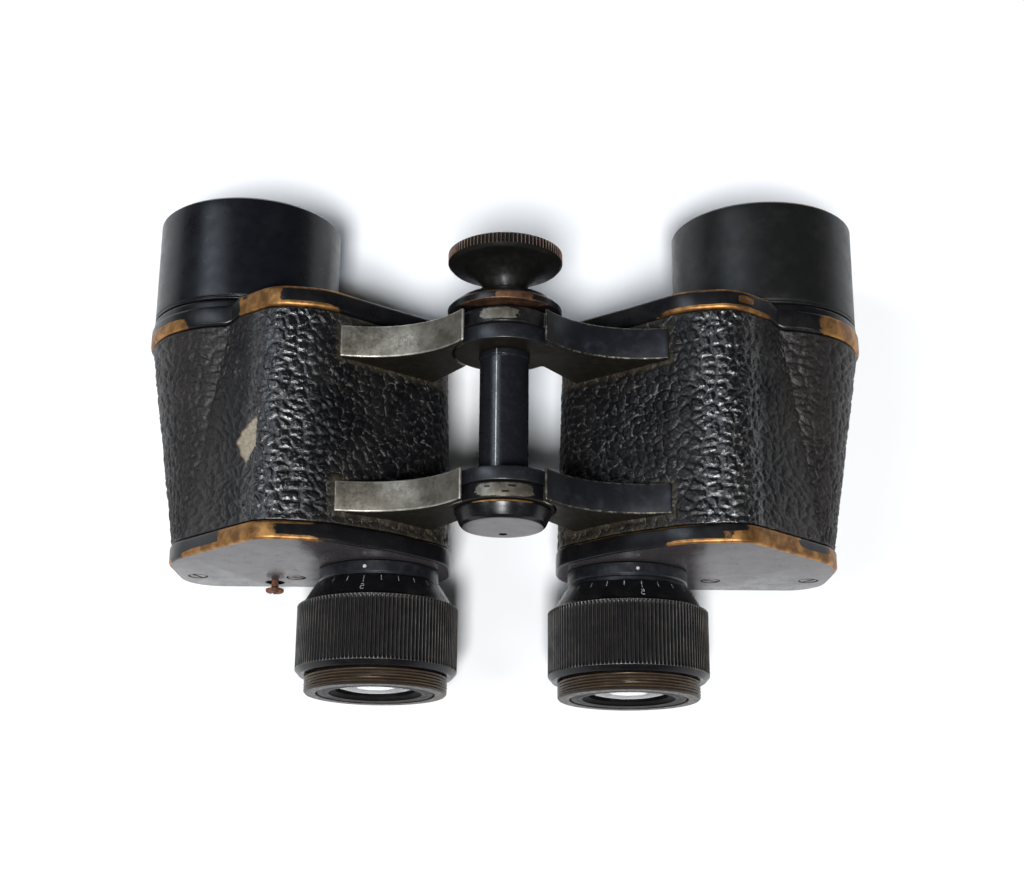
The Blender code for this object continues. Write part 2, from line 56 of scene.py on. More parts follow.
random = np.random.default_rng(7)


def low(node):
    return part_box(node)[0].y / MM


def high(node):
    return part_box(node)[1].y / MM


def axis(node):
    """(x, z) of the line along Y that a turned node stands on."""
    lowest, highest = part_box(node)
    return (lowest.x + highest.x) / 2 / MM, (lowest.z + highest.z) / 2 / MM


# ---- places, from the frame
EYE = axis("right_focus_ring")
OBJECTIVE = axis("right_objective_tube")
HINGE_Z = axis("hinge_sleeve")[1]
PLATE_LOW, PLATE_LOW_TOP = low("right_eyepiece_plate"), high("right_eyepiece_plate")
PLATE_HIGH = high("right_objective_plate")
LOBE_PLATE_LOW = low("right_objective_plate")
PRISM_PLATE_LOW = PLATE_HIGH - 4.9
LOBE_DROP = PRISM_PLATE_LOW - LOBE_PLATE_LOW
BODY_LOW, BODY_HIGH = low("right_leather_cover"), high("right_leather_cover")
LOBE_HIGH = BODY_HIGH - 1.7
STEP_REACH = (61.6, 65.6)           # x of the slope between the prism side and the lobe
TUBE_LOW, TUBE_HIGH = low("right_objective_tube") + 4.5, high("right_objective_tube")
SLEEVE_LOW, SLEEVE_HIGH = low("hinge_sleeve"), high("hinge_sleeve")
FACE = {side: low(f"{side}_eyecup_thread_ring") for side in SIDES}

# ---- the housing, as corner (x, z, radius) of its eyepiece end and of its objective end
HOUSING_CORNERS = (
    ((12.6, 4.1, 15), (14.0, 4.1, 15)),        # inner back
    ((12.6, 30.1, 12), (14.0, 30.3, 10)),      # inner side, under the hinge
    ((25.3, 43.0, 25), (28.1, 41.5, 25)),
    ((39.5, 52.1, 20), (41.0, 52.6, 14)),
    ((54.3, 54.5, 9), (53.3, 55.0, 10)),       # ridge over the prisms
    ((64.6, 44.9, 4), (63.8, 45.9, 0.8)),      # crease between prisms and objective
    ((79.2, 30.5, 15), (87.2, 45.9, 22.9)),    # lobe round the objective
    ((78.4, 4.1, 9), (87.2, 0.0, 22.9)),
    ((50.0, 4.1, 4), (52.0, 0.0, 4)),          # flat back
)
CREASE = 5
CORNER_STEPS = 16
LEATHER_INSET = 0.35
LEATHER_THICK = 0.6
SHELL = (1.25, 2.8)                 # outer and inner face of the casting's wall
SHELF = (0.4, 2.4)
LIGHT_HOLE_R = 6.0

# ---- hinge
KNUCKLE_R = 11.5
KNUCKLE_ROOM_R = 11.9
LUGS = {"low": (-21.1, -13.9), "high": (15.8, 23.5)}
KNUCKLES = {("right", "low"): (-17.15, -13.9), ("left", "low"): (-21.1, -17.45),
            ("right", "high"): (15.8, 19.45), ("left", "high"): (19.75, 23.5)}
BORE_R = 3.4
ARM_CURVE = ((9.1, 62.4), (15.0, 52.4), (26.0, 47.6), (38.0, 50.7))
ARM_TIP = 9.1                       # x of the step between an arm and the knuckles
ARM_BACK = ((38.0, 47.6), (27.4, 39.5), (18.0, 31.0))

# ---- screws, as (x, z) of the right half
EYEPIECE_PLATE_SCREWS = [axis(f"right_eyepiece_plate_screw_{k}") for k in (1, 2)]
OBJECTIVE_PLATE_SCREWS = [axis(f"right_objective_plate_screw_{k}") for k in (1, 2)]
SCREW_HEAD_R = 2.2

# ---- sizes of turned pieces
RING_R, RING_TEETH = 18.95, 124     # knurled band of a focusing ring
DISH_R = 10.9                       # of the dish in the face of a lens barrel
SEAT_R = 20.1                       # of the hole that the objective barrel sits in
KNOB_TEETH = 88
INDEX_TURN = {"left": 9, "right": -6}  # of the dots on the collars, in degrees from the top


# ---- outlines

def rounded(corners, steps=None):
    """A closed outline of (a, b, radius) corners as an array of points, its corners rounded."""
    points = []
    for index, (a, b, radius) in enumerate(corners):
        here = Vector((a, b))
        enter = (here - Vector(corners[index - 1][:2])).normalized()
        leave = (Vector(corners[(index + 1) % len(corners)][:2]) - here).normalized()
        turn = math.atan2(enter.x * leave.y - enter.y * leave.x, enter.dot(leave))
        if not radius or abs(turn) < 0.01:
            points += [here + enter * 0.02 * step for step in range((steps or 0) + 1)]
            continue
        side = 1 if turn > 0 else -1
        start = here - enter * radius * math.tan(abs(turn) / 2)
        spoke = Vector((enter.y, -enter.x)) * side
        centre = start - spoke * radius
        count = steps or max(2, math.ceil(abs(turn) / math.radians(18)))
        for step in range(count + 1):
            points.append(centre + Matrix.Rotation(turn * step / count, 2) @ spoke * radius)
    return np.array([point[:] for point in points])


def area(loop):
    following = np.roll(loop, -1, 0)
    return 0.5 * np.sum(loop[:, 0] * following[:, 1] - following[:, 0] * loop[:, 1])


def inset(loop, distance):
    """A closed loop moved inward, its corners mitred."""
    def unit(vectors):
        return vectors / np.maximum(np.linalg.norm(vectors, axis=1, keepdims=True), 1e-9)
    enter = unit(loop - np.roll(loop, 1, 0))
    leave = unit(np.roll(loop, -1, 0) - loop)
    first = np.stack([-enter[:, 1], enter[:, 0]], 1)
    second = np.stack([-leave[:, 1], leave[:, 0]], 1)
    mitre = (first + second) / np.maximum(1 + np.sum(first * second, 1, keepdims=True), 0.4)
    return loop + mitre * distance * np.sign(area(loop))


def resampled(loops, count):
    """Closed loops with matching points, all resampled evenly by the length of their mean."""
    closed = [np.vstack([loop, loop[:1]]) for loop in loops]
    mean = sum(closed) / len(closed)
    walked = np.concatenate([[0], np.cumsum(np.linalg.norm(np.diff(mean, axis=0), axis=1))])
    stops = np.linspace(0, walked[-1], count, endpoint=False)
    return [np.stack([np.interp(stops, walked, loop[:, k]) for k in (0, 1)], 1) for loop in closed]


def housing(inward, count, bridge=5.0):
    """The housing's outline at its eyepiece end and at its objective end, moved inward.

    bridge is how far to either side the crease is rounded off.
    """
    ends = [rounded([corner[end] for corner in HOUSING_CORNERS], CORNER_STEPS) for end in (0, 1)]
    ends = resampled([inset(end, inward) for end in ends], count)
    mean = sum(ends) / 2
    corner = np.mean([end[:2] for end in HOUSING_CORNERS[CREASE][:2]], axis=0)
    middle = np.argmin(np.linalg.norm(mean - corner, axis=1))
    spacing = np.linalg.norm(mean[middle] - mean[middle - 1])
    half = round(bridge / spacing)
    t = np.linspace(0, 1, 2 * half + 1)[:, None]
    for end in ends:
        first, control, last = (end[middle + step].copy() for step in (-half, 0, half))
        end[middle - half:middle + half + 1] = (first * (1 - t) ** 2 + control * 2 * t * (1 - t)
                                                + last * t ** 2)
    return ends


def arc(x, z, radii, first, last, steps):
    """Points on an ellipse with these half widths, between two angles in degrees."""
    turns = np.radians(np.linspace(first, last, steps))
    return np.stack([x + radii[0] * np.cos(turns), z + radii[1] * np.sin(turns)], 1)


def circle(x, z, radius, steps):
    return arc(x, z, (radius, radius), 0, 360, steps + 1)[:-1]


def knuckle_arc(radius, first, last, steps):
    return arc(0, HINGE_Z, (radius, radius), first, last, steps)


def bezier(points, steps):
    a, b, c, d = (np.array(point) for point in points)
    t = np.linspace(0, 1, steps)[:, None]
    return a * (1 - t) ** 3 + b * 3 * t * (1 - t) ** 2 + c * 3 * t ** 2 * (1 - t) + d * t ** 3


def mirrored(points, side):
    return np.array(points) * (side, 1)


# ---- meshes

def add_to_scene(name, data):
    thing = bpy.data.objects.new(name, data)
    bpy.context.scene.collection.objects.link(thing)
    return thing


def new_piece(name, vertices, faces, values=None):
    """A mesh object from points in millimetres; values become attributes of its vertices."""
    mesh = bpy.data.meshes.new(name)
    mesh.from_pydata((np.asarray(vertices) * MM).tolist(), [], faces)
    for key, value in (values or {}).items():
        mesh.attributes.new(key, "FLOAT", "POINT").data.foreach_set("value", value.ravel())
    work = bmesh.new()
    work.from_mesh(mesh)
    bmesh.ops.remove_doubles(work, verts=work.verts, dist=1e-7)
    bmesh.ops.dissolve_degenerate(work, edges=work.edges, dist=1e-7)
    bmesh.ops.recalc_face_normals(work, faces=work.faces)
    work.to_mesh(mesh)
    work.free()
    return add_to_scene(name, mesh)


def grid_faces(rows, columns, wrap_rows, wrap_columns):
    """Quads over a grid of rows times columns points."""
    row = np.arange(rows if wrap_rows else rows - 1)
    column = np.arange(columns if wrap_columns else columns - 1)
    r, c = (part.ravel() for part in np.meshgrid(row, column, indexing="ij"))
    below, beside = (r + 1) % rows, (c + 1) % columns
    quads = np.stack([r * columns + c, r * columns + beside,
                      below * columns + beside, below * columns + c], 1)
    return quads.tolist()


def lathe(name, profile, centre, segments=96, closed=True, shape=None, spacing=None):
    """Turn (radius, y, corner radius) points about the line along Y through centre (x, z).

    A profile that isn't closed starts and ends on the axis.  shape(turn, radius, y) gives
    the change of radius and the relief of each point; spacing splits long stretches.
    """
    line = rounded(profile) if closed else rounded([(0, profile[0][1], 0), *profile[1:-1],
                                                    (0, profile[-1][1], 0)])
    if spacing:
        line = subdivided(line, spacing, closed)
    turns = np.linspace(0, 2 * math.pi, segments, endpoint=False)[:, None]
    radius = np.tile(line[:, 0], (segments, 1))
    along = np.tile(line[:, 1], (segments, 1))
    change, relief = shape(turns, radius, along) if shape else (0, np.zeros_like(radius))
    radius = radius + change
    points = np.stack([centre[0] + radius * np.cos(turns), along,
                       centre[1] + radius * np.sin(turns)], 2).reshape(-1, 3)
    faces = grid_faces(segments, len(line), True, closed)
    return new_piece(name, points, faces, {"relief": relief})


def subdivided(line, spacing, closed):
    """Points added along a line so that none are further apart than spacing."""
    following = np.roll(line, -1, 0) if closed else line[1:]
    made = []
    for a, b in zip(line, following):
        parts = max(1, math.ceil(np.linalg.norm(b - a) / spacing))
        made.extend(a + (b - a) * k / parts for k in range(parts))
    if not closed:
        made.append(line[-1])
    return np.array(made)


def slab(name, loop, bottom, top, bevel, holes=(), steps=3):
    """A plate between y = bottom and y = top, its outer edges rounded by bevel."""
    quarter = np.radians(np.linspace(0, 90, steps + 1))
    rise = [(bevel * (1 - math.sin(t)), bottom + bevel * (1 - math.cos(t))) for t in quarter]
    rows = rise + [(moved, top + bottom - y) for moved, y in reversed(rise)]
    points, faces, caps = [], [], ([], [])
    for index, outline in enumerate((loop, *holes)):
        outline = np.asarray(outline, float)
        ring_rows = rows if index == 0 else [(0, bottom), (0, top)]
        start, count = len(points), len(outline)
        for moved, y in ring_rows:
            for x, z in inset(outline, moved):
                points.append((x, y, z))
        for face in grid_faces(len(ring_rows), count, False, True):
            faces.append([start + corner for corner in face])
        caps[0].append(range(start, start + count))
        caps[1].append(range(start + count * (len(ring_rows) - 1), start + count * len(ring_rows)))
    for cap in caps:
        faces += cap_faces(points, cap)
    return new_piece(name, points, faces)


def cap_faces(points, loops):
    """Triangles that fill the flat area between closed loops of point numbers."""
    work = bmesh.new()
    number = {}
    edges = []
    for loop in loops:
        corners = [work.verts.new(points[index]) for index in loop]
        number.update(zip(corners, loop))
        edges += [work.edges.new((corners[k - 1], corners[k])) for k in range(len(corners))]
    bmesh.ops.triangle_fill(work, edges=edges, use_beauty=True)
    filled = [[number[corner] for corner in face.verts] for face in work.faces]
    work.free()
    return filled


def combined(thing, operation, *others):
    """Boolean steps with other pieces, which are used up."""
    for other in others:
        step = thing.modifiers.new("step", "BOOLEAN")
        step.object = other
        step.operation = operation
        step.solver = "EXACT"
        bpy.context.view_layer.update()
        evaluated = thing.evaluated_get(bpy.context.evaluated_depsgraph_get())
        mesh = bpy.data.meshes.new_from_object(evaluated)
        thing.modifiers.clear()
        thing.data = mesh
        bpy.data.objects.remove(other, do_unlink=True)
    return thing


def joined(name, *things):
    """Several closed meshes as one object, without a boolean."""
    work = bmesh.new()
    for thing in things:
        work.from_mesh(thing.data)
        bpy.data.objects.remove(thing, do_unlink=True)
    mesh = bpy.data.meshes.new(name)
    work.to_mesh(mesh)
    work.free()
    return add_to_scene(name, mesh)


def edge_classes(centre, normal):
    """0 for the sides of a plate, 1 for its rounded edges and 2 for its flat ends."""
    along = np.abs(normal[:, 1])
    return np.where(along > 0.985, 2, np.where(along > 0.12, 1, 0))


def arm_classes(centre, normal):
    """0 for an arm's top, 1 for its bright edges, 2 for the knuckles and 3 for the flanks."""
    along, out = np.abs(normal[:, 1]), np.abs(centre[:, 0])
    top = (normal[:, 2] > 0.3) & (along < 0.985)
    kind = np.where(top, np.where(out < ARM_TIP, 2, np.where(along > 0.12, 1, 0)), 3)
    tip = (out > ARM_TIP - 0.1) & (out < ARM_TIP + 0.5) & (centre[:, 2] > 61.0) & (along < 0.985)
    return np.where(tip, 1, kind)


def from_eye_axis(centre):
    return np.hypot(np.abs(centre[:, 0]) - EYE[0], centre[:, 2] - EYE[1])


def ring_classes(centre, normal):
    """0 for the knurled band of a focusing ring and 1 for the rest."""
    return np.where((from_eye_axis(centre) > RING_R - 0.6) & (np.abs(normal[:, 1]) < 0.3), 0, 1)


def barrel_classes(centre, normal):
    """0 for a lens barrel and 1 for the dull dish in its face."""
    return np.where(from_eye_axis(centre) < DISH_R, 1, 0)


def dress(thing, body, slot, looks, node=None, classes=None, sharp=40):
    """Give a piece its materials, shade it, and hang it on its body, in place of a CAD node.

    classes turns the middles (in mm) and the normals of the faces into material numbers.
    """
    mesh = thing.data
    mesh.materials.clear()
    for look in looks if isinstance(looks, list) else [looks]:
        mesh.materials.append(look)
    if classes:
        centre, normal = np.zeros((2, len(mesh.polygons) * 3))
        mesh.polygons.foreach_get("center", centre)
        mesh.polygons.foreach_get("normal", normal)
        index = classes(centre.reshape(-1, 3) / MM, normal.reshape(-1, 3))
        mesh.polygons.foreach_set("material_index", index.astype(np.int32))
    mesh.shade_smooth()
    mesh.set_sharp_from_angle(angle=math.radians(sharp))
    mesh.update()
    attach(thing, body)
    if node:
        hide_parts(node)


# ---- materials

class Look:
    """A material made of procedural nodes, in the object's own coordinates."""

    def __init__(self, name, **constants):
        self.material = bpy.data.materials.new(name)
        self.material.use_nodes = True
        self.tree = self.material.node_tree
        self.shader = self.tree.nodes["Principled BSDF"]
        self.place = self.node("TexCoord").outputs["Object"]
        for key, value in constants.items():
            self.put(key, value)

    def set(self, socket, value):
        if isinstance(value, bpy.types.NodeSocket):
            self.tree.links.new(value, socket)
        elif value is not None:
            socket.default_value = (*value, 1.0) if socket.type == "RGBA" else value

    def put(self, key, value):
        self.set(self.shader.inputs[key], value)

    def node(self, kind, inputs=None, **settings):
        """A new node, with its settings made and its inputs linked or filled."""
        made = self.tree.nodes.new("ShaderNode" + kind)
        for key, value in settings.items():
            setattr(made, key, value)
        for key, value in (inputs or {}).items():
            self.set(made.inputs[key], value)
        return made

    def maths(self, operation, a, b=None, clamp=False):
        return self.node("Math", {0: a, 1: b}, operation=operation, use_clamp=clamp).outputs[0]

    def times(self, a, b):
        return self.maths("MULTIPLY", a, b)

    def vector(self, operation, a, b=None, output="Vector"):
        return self.node("VectorMath", {0: a, 1: b}, operation=operation).outputs[output]

    def noise(self, size, detail=3.0, rough=0.55, shift=0.0, twist=0.0):
        """Noise whose features are about size millimetres across, from 0 to 1."""
        mapping = self.node("Mapping", {"Vector": self.place, "Scale": [1 / (size * MM)] * 3,
                                        "Location": (shift, shift * 0.7, shift * 1.3)})
        return self.node("TexNoise", {"Vector": mapping.outputs[0], "Scale": 1.0,
                                      "Detail": detail, "Roughness": rough,
                                      "Distortion": twist}).outputs["Fac"]

    def attribute(self, name):
        return self.node("Attribute", attribute_name=name).outputs["Fac"]

    def ramp(self, value, start, end, low=0.0, high=1.0, smooth=True):
        """value from start to end, turned into low to high."""
        limits = {"From Min": start, "From Max": end, "To Min": low, "To Max": high}
        return self.node("MapRange", {"Value": value, **limits},
                         interpolation_type="SMOOTHSTEP" if smooth else "LINEAR").outputs["Result"]

    def clouds(self, noise, *ramp):
        """Noise with these arguments, sent through a ramp with the others."""
        return self.ramp(self.noise(*noise), *ramp)

    def mix(self, share, a, b):
        return self.node("Mix", {0: share, 6: a, 7: b}, data_type="RGBA").outputs[2]

    def blend(self, share, a, b):
        return self.node("Mix", {0: share, 2: a, 3: b}).outputs[0]

    def spots(self, places):
        """1 inside any of the rounded boxes ((x, y, z), (half sizes)), 0 outside all."""
        total = None
        for centre, size in places:
            away = self.vector("SUBTRACT", self.place, [v * MM for v in centre])
            scaled = self.vector("DIVIDE", away, [v * MM for v in size])
            length = self.vector("LENGTH", self.vector("MULTIPLY", scaled, scaled), output="Value")
            within = self.ramp(length, 1.0, 0.5)
            total = within if total is None else self.maths("MAXIMUM", total, within)
        return total

    def bump(self, height, distance, strength=1.0):
        """Bumps up to distance millimetres high, on top of those already there."""
        normal = self.shader.inputs["Normal"]
        before = normal.links[0].from_socket if normal.links else None
        made = self.node("Bump", {"Strength": strength, "Distance": distance * MM,
                                  "Height": height, "Normal": before})
        self.tree.links.new(made.outputs[0], normal)


# light and dark tones of each metal
BRASS = ((0.42, 0.215, 0.070), (0.175, 0.085, 0.032))
ALLOY = ((0.26, 0.24, 0.20), (0.135, 0.12, 0.095))
BRIGHT = ((0.60, 0.59, 0.56), (0.26, 0.25, 0.23))
ENAMEL = (0.0045, 0.0045, 0.0055)
# a little lighter and bluer than ENAMEL: a painted share of the blue sheen on the hinge, its arms
# and the collars
PAINTED_SHEEN_ENAMEL = (0.0075, 0.008, 0.010)


def worn_enamel(name, metal, wear=0.0, places=(), patch=2.0, ragged=0.30, enamel=ENAMEL,
                gloss=0.26, dust_and_sheen_share=0.25, kept=(), specular=0.32, dust_and_sheen_look=(9.0, 0.045, 0.040, 0.035)):
    """Black enamel that is worn through to metal, everywhere by wear and more at places.

    It stays on at kept.  A mottled layer lies on it, its size and colour given last and its share
    before kept: grey-brown dust, and where that colour is blue, a painted blue sheen.
    """
    look = Look(name, **{"Specular IOR Level": specular, "IOR": 1.5})
    worn = look.clouds((patch, 6, 0.62), 0.25, 0.75, wear - ragged, wear + ragged, False)
    for operation, boxes in (("ADD", places), ("SUBTRACT", kept)):
        if boxes:
            worn = look.maths(operation, worn, look.times(look.spots(boxes), 0.75))
    thin = look.ramp(worn, 0.36, 0.42)
    bare = look.ramp(worn, 0.42, 0.52)
    shown = look.mix(look.clouds((3.5, 5, 0.65, 3.0), 0.35, 0.62), *metal)
    # the mottled layer: grey-brown dust, and where its colour is blue, a painted blue sheen
    dust = look.clouds((dust_and_sheen_look[0], 6, 0.7, 5.0), 0.45, 0.8, 0.0, dust_and_sheen_share)
    brown = [value * 0.35 for value in metal[1]]
    coat = look.mix(thin, look.mix(dust, enamel, dust_and_sheen_look[1:]), brown)
    look.put("Base Color", look.mix(bare, coat, shown))
    look.put("Metallic", look.times(look.maths("ADD", thin, bare), 0.42))
    scuffs = look.clouds((4.0, 5, 0.7, 9.0), 0.3, 0.8, gloss, gloss + 0.14)
    look.put("Roughness", look.blend(thin, scuffs, 0.46))
    look.bump(look.maths("SUBTRACT", 1.0, thin), 0.04, 0.6)
    look.bump(look.noise(0.35, 4, 0.7), 0.006, 0.5)
    return look.material


def bare_alloy(name, tones=ALLOY):
    """Dull casting metal with grime and pits."""
    look = Look(name, Metallic=0.75)
    colour = look.mix(look.clouds((4.0, 5, 0.65), 0.32, 0.68), *tones)
    grime = look.times(look.clouds((1.3, 5, 0.7, 4.0), 0.55, 0.75), 0.55)
    look.put("Base Color", look.mix(grime, colour, (0.06, 0.05, 0.035)))
    look.put("Roughness", look.clouds((0.8, 4, 0.6, 2.0), 0.3, 0.7, 0.34, 0.56))
    look.bump(look.noise(0.5, 5, 0.7, 1.0), 0.05, 0.5)
    return look.material


def leather(name, torn):
    """Pebbled leather: shiny on the grain, dust in its valleys (on the inner side also a painted
    highlight), brown where it is rubbed.
    """
    look = Look(name, IOR=1.5)
    polished, relief, rubbed = (look.attribute(key) for key in ("polished", "relief", "rubbed"))
    look.put("Specular IOR Level", look.ramp(polished, 0, 1, 0.30, 0.95))
    fine = look.noise(0.45, 4, 0.65)
    colour = look.mix(look.clouds((11.0, 3, 0.5, 2.0), 0.4, 0.65),
                      (0.0035, 0.0035, 0.0045), (0.008, 0.0075, 0.0075))
    # light dust in the valleys of the grain; on the inner side its light net also stands for the
    # highlights on the pebbles' edges, a painted highlight
    dust_and_painted_highlight = look.times(look.times(look.ramp(relief, 0.26, 0.06), look.attribute("dust")),
                       look.clouds((1.6, 3, 0.6, 6.0), 0.36, 0.56))
    brown = look.times(rubbed, look.ramp(fine, 0.35, 0.65, 0.1, 1.0))
    specks = look.clouds((0.9, 2, 0.5, 12.0), 0.70, 0.76)
    grime = look.times(look.attribute("grime"), look.ramp(fine, 0.3, 0.6, 0.5, 1.0))
    layers = [(dust_and_painted_highlight, (0.13, 0.122, 0.11)), (brown, (0.026, 0.021, 0.018)),
              (specks, (0.075, 0.060, 0.045)), (grime, (0.060, 0.047, 0.030))]
    if torn:
        backing = look.mix(look.clouds((1.0, 5, 0.7), 0.3, 0.7),
                           (0.34, 0.29, 0.215), (0.19, 0.155, 0.105))
        # a dark brown band along the tear and the slit: the leather's cut edge, with painted shade
        # along it
        layers += [(look.attribute("cut"), (0.010, 0.006, 0.003)),
                   (look.attribute("torn"), backing)]
    for share, tint in layers:
        colour = look.mix(share, colour, tint)
    look.put("Base Color", colour)
    shine = look.ramp(relief, 0.05, 0.4, 0.52, look.ramp(polished, 0, 1, 0.32, 0.17))
    shine = look.blend(rubbed, shine, 0.40)
    look.put("Roughness", look.maths("ADD", shine, look.ramp(fine, 0.3, 0.7, -0.04, 0.10), True))
    look.bump(look.noise(1.0, 2, 0.5, 1.0, 0.6), 0.22)
    look.bump(fine, 0.09)
    return look.material


def knurled_metal(name, valley, ridge, share=0.75, dark=0.35, dust=0.030, crest=(0.45, 0.95)):
    """Blackened brass that shows brown on the ridges of its relief."""
    look = Look(name, **{"Specular IOR Level": 0.2})
    shown = look.times(look.ramp(look.attribute("relief"), *crest, 0.0, share),
                       look.clouds((5.0, 4, 0.6), 0.35, 0.7, dark, 1.0))
    ground = look.mix(look.clouds((2.0, 5, 0.7, 3.0), 0.4, 0.75), valley,
                      (dust, dust * 0.8, dust * 0.66))
    look.put("Base Color", look.mix(shown, ground, ridge))
    look.put("Metallic", look.blend(shown, 0.1, 0.8))
    look.put("Roughness", look.clouds((0.9, 4, 0.6, 5.0), 0.3, 0.7, 0.30, 0.50))
    look.bump(look.noise(0.4, 4, 0.7), 0.03, 0.5)
    return look.material


def metal(name, light, dark, rough=(0.3, 0.5), size=2.5, pits=0.02, metallic=0.9):
    """Bare metal with uneven tarnish."""
    look = Look(name, Metallic=metallic)
    look.put("Base Color", look.mix(look.clouds((size, 5, 0.65), 0.35, 0.65), light, dark))
    look.put("Roughness", look.clouds((size / 3, 4, 0.6, 4.0), 0.3, 0.7, *rough))
    look.bump(look.noise(size / 5, 4, 0.7, 1.0), pits, 0.6)
    return look.material


def glass(name):
    """Polished glass with a trace of dust and haze."""
    look = Look(name, **{"Base Color": (0.93, 0.96, 0.96), "Transmission Weight": 1.0, "IOR": 1.52})
    look.put("Roughness", look.clouds((3.0, 6, 0.7), 0.45, 0.8, 0.02, 0.12))
    look.bump(look.noise(2.0, 2, 0.5, 2.0), 0.004, 0.3)
    return look.material


def paint(name, colour):
    """White filling of engraved marks, broken by wear."""
    look = Look(name, Roughness=0.6)
    worn = look.clouds((0.35, 4, 0.7), 0.35, 0.6)
    look.put("Base Color", look.mix(worn, [value * 0.25 for value in colour], colour))
    look.bump(look.noise(0.2, 3, 0.6), 0.01, 0.4)
    return look.material


GLASS = glass("optical_glass")
STEEL = metal("screw_steel", (0.20, 0.18, 0.165), (0.05, 0.042, 0.037))
RUST = metal("rusty_steel", (0.22, 0.085, 0.035), (0.05, 0.022, 0.014), (0.7, 0.95), 0.8, 0.10, 0.2)
DARK_BRASS = metal("dark_brass", (0.10, 0.075, 0.055), (0.030, 0.024, 0.02), (0.35, 0.5))
PRISM_STEEL = metal("spring_steel", (0.34, 0.33, 0.32), (0.20, 0.19, 0.18), (0.25, 0.4))
ENGRAVED = paint("white_filling", (0.52, 0.52, 0.50))
CAST = bare_alloy("inner_casting", ((0.10, 0.10, 0.10), (0.04, 0.04, 0.04)))
# The flat end faces of the plates and of the hinge cap: their enamel is raised to a mauve grey, a
# painted reflection of the pale floor in the black enamel.
FACE_WITH_PAINTED_REFLECTION = worn_enamel("face_enamel_painted_reflection", BRASS, -0.15, (), 2.2, 0.34, (0.044, 0.037, 0.040),
                         0.18, 0.5, specular=0.30)
TUBE = {
    "left": worn_enamel("left_tube_enamel", BRASS, -0.2, enamel=(0.0045, 0.005, 0.007), dust_and_sheen_share=0.10),
    "right": worn_enamel("right_tube_enamel", BRASS, -0.2, [((74, 58.4, 43.0), (9, 0.45, 4))],
                         enamel=(0.007, 0.007, 0.007), gloss=0.34, dust_and_sheen_share=0.30),
}
# the collars: bluish enamel under blue mottling, a painted blue sheen
COLLAR = worn_enamel("collar_painted_sheen", BRIGHT, 0.02, (), 0.5, 0.48, PAINTED_SHEEN_ENAMEL, 0.3, 0.6,
                     specular=0.4, dust_and_sheen_look=(2.0, 0.034, 0.038, 0.050))
OCULAR = worn_enamel("ocular_enamel", BRASS, -0.1, enamel=(0.012, 0.0105, 0.011), gloss=0.42,
                     specular=0.07)
DISH = worn_enamel("dish_enamel", BRASS, -0.2, enamel=(0.004, 0.0035, 0.0035), gloss=0.55,
                   specular=0.03)
RING_ENAMEL = worn_enamel("ring_enamel", BRASS, -0.05, (), 1.0, 0.36, gloss=0.24, specular=0.2)
KNURLED = knurled_metal("knurled_ring", (0.0045, 0.0045, 0.005), (0.36, 0.33, 0.30), 0.9,
                        dust=0.014, crest=(0.72, 1.0))
KNOB = knurled_metal("clamp_knob_bronze", (0.005, 0.0055, 0.005), (0.66, 0.41, 0.31), 0.95, 0.25,
                     0.012)
THREAD = knurled_metal("thread_brass", (0.022, 0.015, 0.010), (0.20, 0.13, 0.07), 0.8, 0.3)


# ---- leather covers

GRAIN = 2.35                        # length of a pebble along Y; it is wider across
GRAIN_HEIGHT = 0.46
AROUND, ALONG = 760, 154            # points of a cover's grid
LEATHER_BRIDGE = 7.0                # the leather rounds off the crease more widely


def pebbles(s, y, size, seed, stretch=1.25):
    """Cell noise over the unrolled leather: how far into a pebble each point lies, 0 to 1."""
    chance = np.random.default_rng(seed)
    u, v = s / (size * stretch), y / size
    columns, rows = int(u.max()) + 4, int(v.max() - v.min()) + 5
    offset = chance.random((columns, rows, 2)) * 0.86 + 0.07
    height = chance.random((columns, rows)) * 0.4 + 0.6
    cell_u, cell_v = np.floor(u).astype(int), np.floor(v - v.min()).astype(int)
    first = np.full(u.shape, 9.0)
    second = np.full(u.shape, 9.0)
    tall = np.zeros(u.shape)
    for du in (-1, 0, 1):
        for dv in (-1, 0, 1):
            i, j = cell_u + du + 1, cell_v + dv + 1
            away = np.hypot(u - (cell_u + du + offset[i, j, 0]),
                            v - v.min() - (cell_v + dv + offset[i, j, 1]))
            nearer = away < first
            second = np.where(nearer, first, np.minimum(second, away))
            tall = np.where(nearer, height[i, j], tall)
            first = np.where(nearer, away, first)
    edge = smooth(second - first, 0, 0.36)
    return edge * tall * (1 - 0.75 * np.clip(first, 0, 1) ** 2)


def waves(s, y, size, seed):
    """A smooth random field over the unrolled leather, about -1 to 1."""
    chance = np.random.default_rng(seed)
    total = 0
    for _ in range(7):
        turn, phase = chance.random(2) * 2 * math.pi
        k = 2 * math.pi / (size * (0.7 + 0.6 * chance.random()))
        total = total + np.sin(k * (s * math.cos(turn) + y * math.sin(turn)) + phase)
    return total / 4


def smooth(value, start, end):
    t = np.clip((value - start) / (end - start), 0, 1)
    return t * t * (3 - 2 * t)


TORN_PATCH = ((-55.8, 0.9), (-59.8, -2.4), (-61.0, -4.6), (-58.2, -10.2), (-56.2, -6.2))
CUT = ((-55.8, 0.9), (-55.2, 9.0))  # runs on from the torn patch; (x, y) corners


def inside(x, y, corners):
    """Signed share of how far inside a convex outline the points are, above 0 within."""
    centre = np.mean(corners, axis=0)
    depth = np.full(x.shape, 9.0)
    for a, b in zip(corners, corners[1:] + corners[:1]):
        normal = np.array((a[1] - b[1], b[0] - a[0]))
        normal = normal / np.linalg.norm(normal)
        if normal @ (centre - a) < 0:
            normal = -normal
        depth = np.minimum(depth, (x - a[0]) * normal[0] + (y - a[1]) * normal[1])
    return depth


